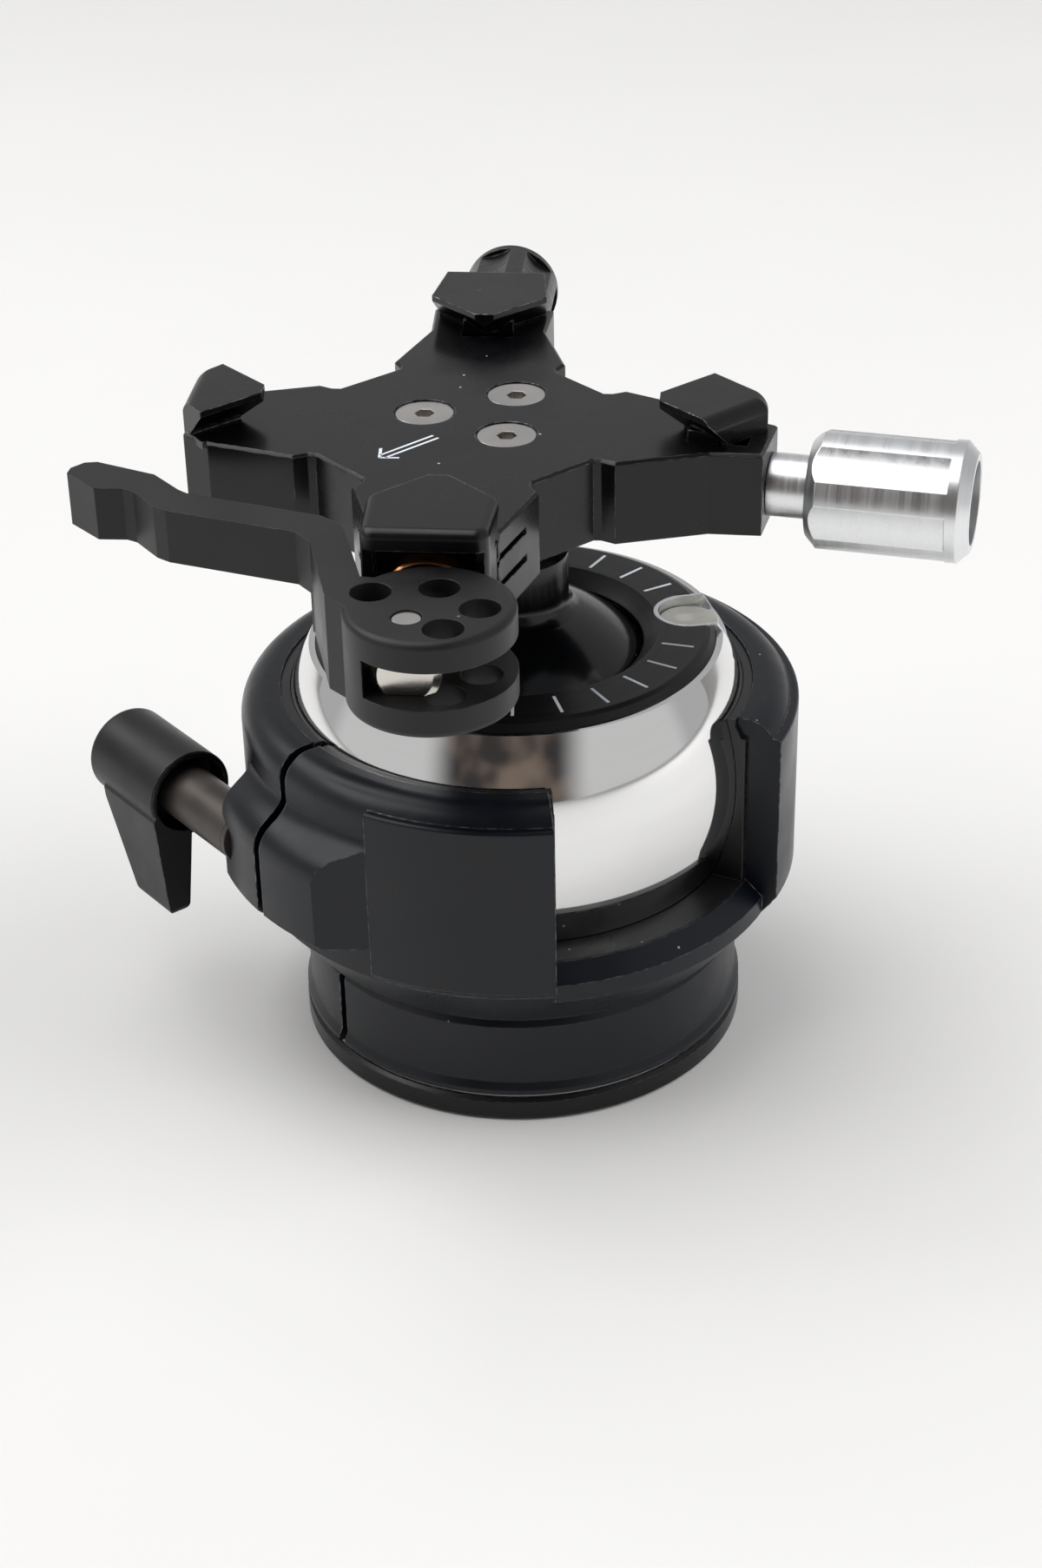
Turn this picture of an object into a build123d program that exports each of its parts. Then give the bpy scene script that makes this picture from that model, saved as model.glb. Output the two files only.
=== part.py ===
"""Tripod ball head: two nested balls in a split housing, under a four-jaw plate clamp.

Frame: millimetres, +Z up, origin at the centre of the underside of the base. The four arms of the
clamp lie along X and Y. The housing's window, the slit and the lock screw are turned about Z.
"""

import math
import os

from build123d import *

os.makedirs("parts", exist_ok=True)

# ------------------------------------------------------------------ clearances
run_gap = 0.05          # radial, between a shaft and its hole or a ball and its seat
slide_gap = 0.05        # between flat faces that slide on each other
seat_gap = 0.02         # between pieces that stand still against each other

# ------------------------------------------------------------------ base
base_radius = 31.5
base_thickness = 3.6
base_edge = 0.5
glide_thickness = 0.4
glide_inner_radius = 24.0
glide_outer_radius = 30.7
bush_bore_radius = 4.0          # minor radius of a 3/8-16 thread
bush_radius = 7.0
bush_flange_radius = 8.8
bush_flange_thickness = 1.6
bush_height = 7.0
hub_radius = 13.9
hub_flange_radius = 19.0
hub_flange_thickness = 1.5
base_screw_count = 4
base_screw_circle = 11.0
base_screw_radius = 1.25
base_screw_head_radius = 2.4

# ------------------------------------------------------------------ balls
ball_height = 42.6
ball_radius = 32.8
ball_rim_height = 59.2
inner_ball_radius = 22.8
ball_bore_radius = 24.6
ball_cavity_radius = 26.5
neck_radius = 7.35
neck_foot_radius = 9.2
neck_foot_rise = 2.6
neck_top_radius = 9.4

# ------------------------------------------------------------------ dial ring on the outer ball
ring_hole_radius = 17.5
ring_cone_radius = 19.6         # where the cone of the hole meets the flat top
ring_radius = 27.4
ring_top = 60.3
ring_thickness = 4.7
ring_lip = 2.4                  # thickness of the ring's inner lip, over the retainer
ring_bevel = 1.2
vial_azimuth = 15.0
vial_distance = 24.15
vial_radius = 4.2
vial_cup_wall = 0.6
vial_cup_floor = 0.35
vial_height = 0.62
vial_dome = 0.3

# ------------------------------------------------------------------ seats of the balls
retainer_height = 9.5
retainer_contact = 6.0
inner_seat_start = 25.0         # degrees from straight down
inner_seat_end = 62.0
liner_wall = 1.3
liner_bottom = 25.6
liner_reach = 34.0              # outer radius of the liner's sleeve
liner_step = 50.4               # where the sleeve narrows under the housing's lip
seat_inner_radius = 20.5
seat_radius = 27.4
seat_bottom = 9.0
spring_thickness = 0.5

# ------------------------------------------------------------------ housing
housing_radius = 38.1
housing_floor = 3.0
foot_radius = 31.45
foot_edge = 1.0
waist_radius = 30.85
waist_step_height = 15.2
waist_step = 0.55
underside_start = 17.7
underside_inset = 4.9           # from the housing's radius to where its underside starts to rise
underside_rise = 1.0
underside_slope = 1.29          # rise of the underside cone per millimetre outward
rim_height = 53.2
shoulder_radius = 4.0
panel_proud = 0.75
panel_top = 51.0
panel_round = 0.5
panel_lift = 0.15
panel_start = -115.2            # azimuths between which the wall is thicker
panel_end = 78.0
slot_azimuth = -48.5            # middle of the window that the neck drops into
window_half_angle = 29.0
sill_height = 28.0
lip_face = 1.1                  # upright part of the lip over the liner
lip_cone = 0.9
sill_edge_radius = 34.3
band_inset = 1.35
band_top = 25.8
liner_peek = 1.1                # degrees of liner that show beside the window
slit_azimuth = -139.0
slit_width = 1.4

# ------------------------------------------------------------------ lock screw and its ear
lock_proud = 0.2                # from the housing's radius out to the lock screw's axis
lock_height = 36.6
lock_skew = 2.5                 # degrees from square to the slit
ear_proud = 4.7
ear_bottom = 30.0
ear_top = 40.2
ear_slope_rise = 6.4
ear_far_side = 11.5
ear_near_side = 11.2            # where the near facet meets the ear's outer radius
ear_facet_slope = 0.754
lock_thread_radius = 3.0
lock_shaft_radius = 4.0
lock_thread_end = 9.5
lock_recess_depth = 2.2
lock_washer_thickness = 0.8
lock_washer_radius = 4.0
lever_start = 23.9
lever_length = 17.1
lever_boss_radius = 6.4
lever_mouth_radius = 5.65
lever_mouth_depth = 4.0
lever_shaft_depth = 8.0
wing_reach = 18.6               # below the lock screw's axis
wing_root = 13.4                # width along the axis, at the boss and at the tip
wing_tip = 8.4
wing_offset = 3.4               # from the axis to the middle of the wing
wing_root_half = 3.0
wing_tip_half = 1.6
grub_radius = 1.5

# ------------------------------------------------------------------ clamp
clamp_x = -5.6
clamp_y = -5.9
platform_height = 92.8
arm_thickness = 11.2
core_long = 17.6
core_short = 10.7
shoulder_reach = 20.4
shoulder_width = 11.6
waist_reach = 32.0
waist_width = 8.0
arm_end = 40.0
arm_end_width = 8.4
right_end_rear = 4.0            # from the screw's axis to the corners of the right arm's end
right_end_front = 5.7
front_arm_end = 34.2
fixed_arm_end = 35.7
fixed_arm_end_width = 5.0
edge_break = 0.35
screw_circle_x = -3.4
screw_circle_y = -2.7
screw_circle_radius = 7.6
head_screw_radius = 2.0
head_screw_head = 3.8
head_screw_recess = 4.05
head_screw_socket = 1.35
head_flange_radius = 11.4
head_flange_thickness = 5.1

# ------------------------------------------------------------------ jaws
jaw_reach = 25.4                # from the clamp's centre to the nose of each jaw
fixed_jaw_reach = 25.9
jaw_rise = 4.2
jaw_nose = 1.3
jaw_width = 8.0
jaw_lip = 0.8
jaw_undercut = 3.1
jaw_travel = 2.5
jaw_end_round = 1.8
side_jaw_tail = 13.8
back_jaw_shift = 1.8            # how far the back jaw stands beyond the others
back_jaw_tail = 16.6
back_jaw_tail_width = 6.8
fixed_jaw_tail_width = 4.1
tongue_width = 3.5
tongue_start = 4.4              # behind the nose
tongue_length = 4.0
drive_drop = 6.45               # from the platform down to the axes of the jaws' screws
drive_pivot = 25.0              # where the right screw's axis crosses its arm's middle line
right_skew = -10.0              # degrees from the arm to that screw's axis
drive_screw_radius = 2.5
front_jaw_length = 15.9
front_jaw_end_width = 7.6
front_jaw_gap = 0.8             # from the front arm's end to the jaw
front_jaw_round = 1.8
front_top_round = 1.2
pocket_depth = 3.1              # pocket for the thrust plate in the jaw's front face
pocket_half_width = 6.15
cam_relief = 0.9                # between the cam's sweep and the pocket's side walls
pocket_rise = 1.6               # from the platform up to the top of that pocket
guide_pin_radius = 1.25
guide_pin_spread = 5.0

# ------------------------------------------------------------------ knobs
knob_neck_radius = 4.1
knob_neck_length = 5.3
knob_radius = 7.8
back_knob_radius = 6.9
knob_length = 20.8
knob_flutes = 6
knob_flute_depth = 0.75
knob_flute_radius = 9.0
knob_band = 2.8
knob_edge = 1.5
knob_bore_radius = 5.4
knob_bore_depth = 12.0
cap_head_radius = 4.3
cap_head_height = 4.0
cap_socket_radius = 2.3
clip_radius = 3.3
clip_thickness = 0.8

# ------------------------------------------------------------------ cam lever
plate_thickness = 1.2           # copper thrust plate
plate_radius = 6.0
cam_radius = 10.1
cam_offset_x = 2.2              # from the pin to the middle of the cam discs
cam_offset_y = 3.5
pin_reach = 53.9                # from the clamp's centre to the pin, and across to it
pull_offset = -0.45
pin_radius = 1.8
fork_height = 12.2
fork_gap = 4.8
fork_round = 0.9
fork_web = 4.8                  # from the pin to the web between the cheeks
rod_radius = 2.0
rod_inner_end = 22.0
rod_head_radius = 4.1
rod_head_reach = 3.0            # on both sides of the pin
rod_head_edge = 0.9
handle_height = 7.0
lightening_radius = 2.45

# ------------------------------------------------------------------ derived places
drive_height = platform_height - drive_drop
pocket_top = platform_height + pocket_rise
underside_radius = housing_radius - underside_inset
panel_radius = housing_radius + panel_proud
band_radius = housing_radius - band_inset
lock_distance = housing_radius + lock_proud
ear_radius = housing_radius + ear_proud
housing_bottom = base_thickness + glide_thickness + seat_gap
floor_top = housing_bottom + housing_floor
cavity_radius = ball_radius + run_gap + liner_wall + seat_gap
sleeve_bore = liner_reach + seat_gap
window_start = slot_azimuth - window_half_angle
window_end = slot_azimuth + window_half_angle
lock_azimuth = slit_azimuth - 90.0 + lock_skew
seat_bore_radius = seat_radius + seat_gap
ring_bottom = ring_top - ring_thickness
lip_bottom = ring_top - ring_lip
arm_bottom = platform_height - arm_thickness
jaw_top = platform_height + jaw_rise
tongue_end = jaw_reach + tongue_start + tongue_length
channel_start = jaw_reach + tongue_start - 0.3
channel_end = tongue_end + jaw_travel + clip_thickness + slide_gap + 0.3
front_face = jaw_reach + front_jaw_length
plate_seat = front_face - pocket_depth
shaft_seat = ear_far_side - lock_recess_depth
cam_sweep = math.hypot(cam_offset_x, cam_offset_y) + cam_radius


def unit(azimuth):
    """Horizontal unit vector at an azimuth in degrees."""
    return (math.cos(math.radians(azimuth)), math.sin(math.radians(azimuth)), 0)


def meridian(azimuth):
    """Upright plane through the Z axis: x is the radius, y is the height."""
    x, y, _ = unit(azimuth)
    return Plane(origin=(0, 0, 0), x_dir=(x, y, 0), z_dir=(y, -x, 0))


def level(azimuth, height):
    """Level plane on the Z axis whose x axis points at the azimuth."""
    return Plane(origin=(0, 0, height), x_dir=unit(azimuth), z_dir=(0, 0, 1))


def arm_level(azimuth, height):
    """Level plane on the clamp's middle whose x axis runs along the arm."""
    return Plane(origin=(clamp_x, clamp_y, height), x_dir=unit(azimuth), z_dir=(0, 0, 1))


def arm_across(azimuth, reach, height=drive_height):
    """Upright plane across an arm, with its normal along the arm."""
    x, y, _ = unit(azimuth)
    origin = (clamp_x + reach * x, clamp_y + reach * y, height)
    return Plane(origin=origin, x_dir=(-y, x, 0), z_dir=(x, y, 0))


def skew_of(azimuth):
    """Angle from an arm to the screw that drives its jaw."""
    return right_skew if azimuth == 0 else 0


def drive_point(azimuth, reach, across=0):
    """Plan point in an arm's own axes, given along and across its screw's axis."""
    turn = math.radians(skew_of(azimuth))
    along = reach - drive_pivot
    return (
        drive_pivot + along * math.cos(turn) - across * math.sin(turn),
        along * math.sin(turn) + across * math.cos(turn),
    )


def drive_across(azimuth, reach):
    """Upright plane across a jaw's screw, with its normal outward along the screw."""
    u, v = drive_point(azimuth, reach)
    ux, uy, _ = unit(azimuth)
    dx, dy, _ = unit(azimuth + skew_of(azimuth))
    origin = (clamp_x + u * ux - v * uy, clamp_y + u * uy + v * ux, drive_height)
    return Plane(origin=origin, x_dir=(-dy, dx, 0), z_dir=(dx, dy, 0))


def drive_level(azimuth, reach, height):
    """Level plane on a jaw's screw whose x axis runs along the screw."""
    place = drive_across(azimuth, reach).origin
    direction = unit(azimuth + skew_of(azimuth))
    return Plane(origin=(place.X, place.Y, height), x_dir=direction, z_dir=(0, 0, 1))


def lock_across(distance):
    """Plane across the lock screw, a distance from the slit towards the lever."""
    sx, sy, _ = unit(slit_azimuth)
    tx, ty, _ = unit(lock_azimuth)
    origin = (lock_distance * sx + distance * tx, lock_distance * sy + distance * ty, lock_height)
    return Plane(origin=origin, x_dir=(-ty, tx, 0), z_dir=(tx, ty, 0))


def lock_side(distance, facing):
    """Plane along the lock screw's axis that faces outward for 1 and towards the housing for -1."""
    place = lock_across(distance)
    x_axis = place.x_dir
    return Plane(origin=place.origin, x_dir=place.z_dir, z_dir=(facing * x_axis.X, facing * x_axis.Y, 0))


def on_sphere(radius, r):
    """Height above a sphere's centre at a distance r from its axis."""
    return math.sqrt(radius**2 - r**2)


def underside(r):
    """Height of the housing's underside cone."""
    return underside_start + underside_rise + (r - underside_radius) * underside_slope


def finish(builder, label):
    """Names a piece and writes it to its STEP file."""
    builder.part.label = label
    export_step(builder.part, f"parts/{label}.step")


# ================================================================== base
with BuildPart() as base_disc:
    with BuildSketch(Plane.XY):
        Circle(base_radius)
        Circle(bush_radius + seat_gap, mode=Mode.SUBTRACT)
    extrude(amount=base_thickness)
    outer = base_disc.edges().filter_by(GeomType.CIRCLE)
    chamfer(outer.filter_by(lambda e: e.radius > base_radius - 0.1), base_edge)
    with Locations(Plane.XY.rotated((180, 0, 0))):
        with PolarLocations(base_screw_circle, base_screw_count, start_angle=45):
            CounterSinkHole(base_screw_radius + seat_gap, base_screw_head_radius, counter_sink_angle=90)
finish(base_disc, "base_disc")

with BuildPart() as thread_bush:
    with BuildSketch(Plane.XY):
        Circle(bush_radius)
    extrude(amount=bush_height)
    with BuildSketch(Plane.XY.offset(base_thickness)):
        Circle(bush_flange_radius)
    extrude(amount=bush_flange_thickness)
    Hole(bush_bore_radius)
finish(thread_bush, "thread_bush")

with BuildPart() as pan_hub:
    with BuildSketch(Plane.XY.offset(base_thickness)):
        Circle(hub_radius)
    extrude(amount=floor_top + slide_gap - base_thickness)
    with BuildSketch(Plane.XY.offset(floor_top + slide_gap)):
        Circle(hub_flange_radius)
    extrude(amount=hub_flange_thickness)
    with BuildSketch(Plane.XY.offset(base_thickness)):
        Circle(bush_flange_radius + seat_gap)
    extrude(amount=bush_flange_thickness + seat_gap, mode=Mode.SUBTRACT)
    with BuildSketch(Plane.XY.offset(base_thickness)):
        Circle(bush_radius + seat_gap)
    extrude(amount=2 * housing_floor + hub_flange_thickness, mode=Mode.SUBTRACT)
    with BuildSketch(Plane.XY.offset(base_thickness)):
        with PolarLocations(base_screw_circle, base_screw_count, start_angle=45):
            Circle(base_screw_radius)
    extrude(amount=floor_top - base_thickness, mode=Mode.SUBTRACT)
finish(pan_hub, "pan_hub")

with BuildPart() as base_screws:
    for corner in PolarLocations(base_screw_circle, base_screw_count, start_angle=45):
        place = Plane(origin=(corner.position.X, corner.position.Y, 0))
        with BuildSketch(place):
            Circle(base_screw_head_radius - seat_gap)
        with BuildSketch(place.offset(base_screw_head_radius - base_screw_radius)):
            Circle(base_screw_radius - seat_gap)
        loft()
        with BuildSketch(place):
            Circle(base_screw_radius - seat_gap)
        extrude(amount=floor_top - seat_gap)
        with BuildSketch(place):
            RegularPolygon(0.9, 6)
        extrude(amount=1.2, mode=Mode.SUBTRACT)
finish(base_screws, "base_screws")

with BuildPart() as pan_glide:
    with BuildSketch(Plane.XY.offset(base_thickness)):
        Circle(glide_outer_radius)
        Circle(glide_inner_radius, mode=Mode.SUBTRACT)
    extrude(amount=glide_thickness)
finish(pan_glide, "pan_glide")

# ================================================================== housing
with BuildPart() as window_cutter:
    with BuildSketch(meridian(window_start)):
        Polygon(
            (band_radius, underside_start - 5),
            (band_radius, band_top),
            (sill_edge_radius, sill_height),
            (ball_radius - 6, sill_height),
            (ball_radius - 6, rim_height + 2),
            (ear_radius, rim_height + 2),
            (ear_radius, underside_start - 5),
            align=None,
        )
    revolve(axis=Axis.Z, revolution_arc=window_end - window_start)

with BuildPart() as ear_blank:
    with BuildSketch(Plane.XZ):
        with BuildLine():
            Polyline(
                (housing_radius - 2, ear_bottom),
                (ear_radius - 0.6, ear_bottom),
                (ear_radius, ear_bottom + 0.6),
                (ear_radius, ear_top),
            )
            Spline(
                (ear_radius, ear_top),
                (ear_radius - 2.2, ear_top + 0.6 * ear_slope_rise),
                (housing_radius - 0.2, ear_top + ear_slope_rise + 1.2),
                tangents=((0, 1), (0, 1)),
            )
            Polyline(
                (housing_radius - 0.2, ear_top + ear_slope_rise + 1.2),
                (housing_radius - 2, ear_top + ear_slope_rise + 1.2),
                (housing_radius - 2, ear_bottom),
            )
        make_face()
    revolve(axis=Axis.Z)
    facet_back = 13.1
    facet_front = -5.9
    ear_arc = math.sqrt(ear_radius**2 - ear_near_side**2)
    with BuildSketch(level(slit_azimuth, 0)):
        Polygon(
            (ear_arc - facet_back, ear_near_side + facet_back * ear_facet_slope),
            (ear_arc - facet_front, ear_near_side + facet_front * ear_facet_slope),
            (ear_arc - facet_front, -ear_far_side),
            (ear_arc - facet_back, -ear_far_side),
            align=None,
        )
    extrude(amount=rim_height, mode=Mode.INTERSECT)

with BuildPart() as housing:
    cavity_at_bore = ball_height - on_sphere(cavity_radius, seat_bore_radius)
    lip_radius = on_sphere(cavity_radius, rim_height - ball_height)
    ledge_radius = on_sphere(cavity_radius, ball_height - liner_bottom + seat_gap)
    ledge_mid = (ledge_radius + seat_bore_radius) / 2
    shoulder_x = housing_radius - shoulder_radius
    shoulder_z = rim_height - shoulder_radius
    shoulder_mid = shoulder_radius * math.sqrt(0.5)
    with BuildSketch(Plane.XZ):
        with BuildLine():
            Polyline(
                (hub_radius + run_gap, floor_top),
                (hub_radius + run_gap, housing_bottom),
                (foot_radius - 0.4, housing_bottom),
                (foot_radius, housing_bottom + 0.4),
                (foot_radius, housing_bottom + foot_edge),
                (waist_radius, housing_bottom + foot_edge + 1.1),
                (waist_radius, waist_step_height),
                (waist_radius - waist_step, waist_step_height + 0.9),
                (waist_radius - waist_step, underside_start - 0.8),
                (waist_radius - waist_step + 0.8, underside_start),
                (underside_radius - 0.8, underside_start),
                (underside_radius, underside(underside_radius)),
                (housing_radius, underside(housing_radius)),
                (housing_radius, shoulder_z),
            )
            ThreePointArc(
                (housing_radius, shoulder_z),
                (shoulder_x + shoulder_mid, shoulder_z + shoulder_mid),
                (shoulder_x, rim_height),
            )
            Polyline(
                (shoulder_x, rim_height),
                (lip_radius, rim_height),
                (lip_radius, rim_height - lip_face),
                (lip_radius + lip_cone, liner_step),
                (sleeve_bore, liner_step),
                (sleeve_bore, liner_bottom - seat_gap),
                (ledge_radius, liner_bottom - seat_gap),
            )
            ThreePointArc(
                (ledge_radius, liner_bottom - seat_gap),
                (ledge_mid, ball_height - on_sphere(cavity_radius, ledge_mid)),
                (seat_bore_radius, cavity_at_bore),
            )
            Polyline(
                (seat_bore_radius, cavity_at_bore),
                (seat_bore_radius, floor_top),
                (hub_radius + run_gap, floor_top),
            )
        make_face()
    revolve(axis=Axis.Z)
    with BuildSketch(meridian(panel_start)) as panel_section:
        panel_root = housing_radius - 1.6
        panel_bottom = underside(panel_radius) + panel_lift
        Polygon(
            (panel_root, panel_bottom),
            (housing_radius, underside(housing_radius) + panel_lift),
            (panel_radius, panel_bottom),
            (panel_radius, panel_top),
            (panel_root, panel_top),
            align=None,
        )
        fillet(panel_section.vertices().group_by(Axis.Y)[-1].sort_by(Axis.X)[-1], panel_round)
    revolve(axis=Axis.Z, revolution_arc=panel_end - panel_start)
    add(ear_blank.part)
    add(window_cutter.part, mode=Mode.SUBTRACT)
    # the slit that lets the lock screw squeeze the housing
    with BuildSketch(level(slit_azimuth, 0)):
        with Locations((ear_radius / 2 + 2, 0)):
            Rectangle(ear_radius + 4, slit_width)
    extrude(amount=rim_height + 1, mode=Mode.SUBTRACT)
    # thread on the near side of the slit, clearance and recess on the lever's side
    with BuildSketch(lock_across(-lock_thread_end - 1)):
        Circle(lock_thread_radius + run_gap)
    extrude(amount=lock_thread_end + 1 + ear_far_side + 1, mode=Mode.SUBTRACT)
    with BuildSketch(lock_across(shaft_seat)):
        Circle(lock_washer_radius + run_gap)
    extrude(amount=10, mode=Mode.SUBTRACT)
finish(housing, "housing")

with BuildPart() as liner:
    liner_inner = ball_radius + run_gap
    liner_top = rim_height - 0.3
    tip_radius = lip_radius - seat_gap
    liner_top_inner = on_sphere(liner_inner, liner_top - ball_height)
    liner_low_inner = on_sphere(liner_inner, liner_bottom - ball_height)
    with BuildSketch(Plane.XZ):
        with BuildLine():
            ThreePointArc(
                (liner_top_inner, liner_top),
                (liner_inner, ball_height),
                (liner_low_inner, liner_bottom),
            )
            Polyline(
                (liner_low_inner, liner_bottom),
                (liner_reach, liner_bottom),
                (liner_reach, liner_step - seat_gap),
                (tip_radius + lip_cone, liner_step - seat_gap),
                (tip_radius, rim_height - lip_face),
                (tip_radius, liner_top),
                (liner_top_inner, liner_top),
            )
        make_face()
    revolve(axis=Axis.Z)
    with BuildSketch(meridian(window_start + liner_peek)):
        Polygon(
            (ball_radius - 6, sill_height),
            (ear_radius, sill_height),
            (ear_radius, rim_height + 1),
            (ball_radius - 6, rim_height + 1),
            align=None,
        )
    revolve(
        axis=Axis.Z,
        revolution_arc=window_end - window_start - 2 * liner_peek,
        mode=Mode.SUBTRACT,
    )
    with BuildSketch(level(slit_azimuth, 0)):
        with Locations((ear_radius / 2, 0)):
            Rectangle(ear_radius, slit_width)
    extrude(amount=rim_height + 1, mode=Mode.SUBTRACT)
finish(liner, "liner")

with BuildPart() as seat_spring:
    spring_inner = hub_flange_radius + 1.5
    spring_outer = seat_radius - 0.8
    with BuildSketch(Plane.XZ):
        Polygon(
            (spring_outer, floor_top),
            (spring_outer, floor_top + spring_thickness),
            (spring_inner, seat_bottom - slide_gap),
            (spring_inner, seat_bottom - slide_gap - spring_thickness),
            align=None,
        )
    revolve(axis=Axis.Z)
finish(seat_spring, "seat_spring")

# ================================================================== lock screw and lever
with BuildPart() as lock_washer:
    with BuildSketch(lock_across(shaft_seat)):
        Circle(lock_washer_radius)
        Circle(lock_thread_radius + run_gap, mode=Mode.SUBTRACT)
    extrude(amount=lock_washer_thickness)
finish(lock_washer, "lock_washer")

with BuildPart() as lock_screw:
    shaft_start = shaft_seat + lock_washer_thickness + slide_gap
    shaft_end = lever_start + lever_mouth_depth + lever_shaft_depth
    with BuildSketch(lock_across(-lock_thread_end)):
        Circle(lock_thread_radius)
    extrude(amount=lock_thread_end + shaft_start)
    with BuildSketch(lock_across(shaft_start)):
        Circle(lock_shaft_radius)
    extrude(amount=shaft_end - shaft_start)
    screw_axis = Axis(origin=(0, 0, 0), direction=unit(lock_azimuth))
    chamfer(lock_screw.faces().sort_by(screw_axis)[0].edges(), 0.6)
finish(lock_screw, "lock_screw")

with BuildPart() as wing:
    # section across the axis, then its outline seen from the side
    with BuildSketch(lock_across(lever_start)) as wing_section:
        Polygon(
            (wing_offset - wing_root_half, 0),
            (wing_offset - wing_root_half, -lever_boss_radius),
            (wing_offset - wing_tip_half, -wing_reach),
            (wing_offset + wing_tip_half, -wing_reach),
            (wing_offset + 0.97 * wing_root_half, -2.5),
            (wing_offset + 0.6 * wing_root_half, 0),
            align=None,
        )
        fillet(wing_section.vertices().group_by(Axis.Y)[0], wing_tip_half - 0.1)
    extrude(amount=wing_root + 1)
    with BuildSketch(lock_side(lever_start, -1)) as wing_side:
        down = 1 if lock_side(lever_start, -1).y_dir.Z < 0 else -1
        Polygon(
            (0, -down),
            (wing_root, -down),
            (wing_root, 4 * down),
            (wing_tip, wing_reach * down),
            (0, wing_reach * down),
            align=None,
        )
        fillet(wing_side.vertices().filter_by(lambda v: abs(abs(v.Y) - wing_reach) < 0.1), 1.2)
    extrude(amount=2 * lever_boss_radius, both=True, mode=Mode.INTERSECT)

with BuildPart() as lock_lever:
    with BuildSketch(lock_across(lever_start)):
        Circle(lever_boss_radius)
    extrude(amount=lever_length)
    boss_rims = lock_lever.edges().filter_by(GeomType.CIRCLE).sort_by(screw_axis)
    chamfer(boss_rims[0], 0.25)
    fillet(boss_rims[-1], 1.0)
    add(wing.part)
    with BuildSketch(lock_across(lever_start)):
        Circle(lever_mouth_radius)
    extrude(amount=lever_mouth_depth, mode=Mode.SUBTRACT)
    with BuildSketch(lock_across(lever_start)):
        Circle(lock_shaft_radius + seat_gap)
    extrude(amount=lever_mouth_depth + lever_shaft_depth, mode=Mode.SUBTRACT)
    # set screw on the side that faces the housing
    grub_plane = lock_side(lever_start + lever_mouth_depth + lever_shaft_depth / 2, -1)
    with BuildSketch(grub_plane.offset(lock_shaft_radius - 0.5)):
        Circle(grub_radius + seat_gap)
    extrude(amount=lever_boss_radius, mode=Mode.SUBTRACT)
finish(lock_lever, "lock_lever")

with BuildPart() as lever_grub_screw:
    with BuildSketch(grub_plane.offset(lock_shaft_radius + seat_gap)):
        Circle(grub_radius)
    extrude(amount=lever_boss_radius - lock_shaft_radius - 0.3)
    with BuildSketch(grub_plane.offset(lever_boss_radius - 0.3)):
        RegularPolygon(0.8, 6)
    extrude(amount=-0.9, mode=Mode.SUBTRACT)
finish(lever_grub_screw, "lever_grub_screw")

# ================================================================== outer ball
with BuildPart() as ball_seat:
    seat_face = ball_radius + run_gap
    seat_top = ball_height - on_sphere(seat_face, seat_radius)
    seat_low = ball_height - on_sphere(seat_face, seat_inner_radius)
    seat_mid = (seat_inner_radius + seat_radius) / 2
    with BuildSketch(Plane.XZ):
        with BuildLine():
            ThreePointArc(
                (seat_inner_radius, seat_low),
                (seat_mid, ball_height - on_sphere(seat_face, seat_mid)),
                (seat_radius, seat_top),
            )
            Polyline(
                (seat_radius, seat_top),
                (seat_radius, seat_bottom),
                (seat_inner_radius, seat_bottom),
                (seat_inner_radius, seat_low),
            )
        make_face()
    revolve(axis=Axis.Z)
finish(ball_seat, "ball_seat")

vial_cup_radius = vial_radius + seat_gap + vial_cup_wall
vial_floor = lip_bottom + seat_gap
vial_place = level(vial_azimuth, vial_floor)
notch_length = ball_radius - vial_distance


def notch(radius, height):
    """Open-ended notch round the vial, with its inner end rounded, from the vial's floor up."""
    with BuildPart() as block:
        with BuildSketch(vial_place.offset(height)):
            with Locations((vial_distance, 0)):
                Circle(radius)
            with Locations((vial_distance + notch_length / 2, 0)):
                Rectangle(notch_length, 2 * radius)
        extrude(amount=10)
    return block.part



with BuildPart() as outer_ball:
    rim_radius = on_sphere(ball_radius, ball_rim_height - ball_height)
    bore_floor = ball_height - on_sphere(ball_cavity_radius, ball_bore_radius)
    half = math.sqrt(0.5)
    with BuildSketch(Plane.XZ):
        with BuildLine():
            ThreePointArc(
                (0, ball_height - ball_radius),
                (ball_radius, ball_height),
                (rim_radius, ball_rim_height),
            )
            Polyline(
                (rim_radius, ball_rim_height),
                (ring_radius + seat_gap, ball_rim_height),
                (ring_radius + seat_gap, ring_bottom),
                (ball_bore_radius, ring_bottom),
                (ball_bore_radius, bore_floor),
            )
            ThreePointArc(
                (ball_bore_radius, bore_floor),
                (ball_cavity_radius * half, ball_height - ball_cavity_radius * half),
                (0, ball_height - ball_cavity_radius),
            )
            Line((0, ball_height - ball_cavity_radius), (0, ball_height - ball_radius))
        make_face()
    revolve(axis=Axis.Z)
    add(notch(vial_cup_radius + seat_gap, 0), mode=Mode.SUBTRACT)
finish(outer_ball, "outer_ball")

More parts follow.
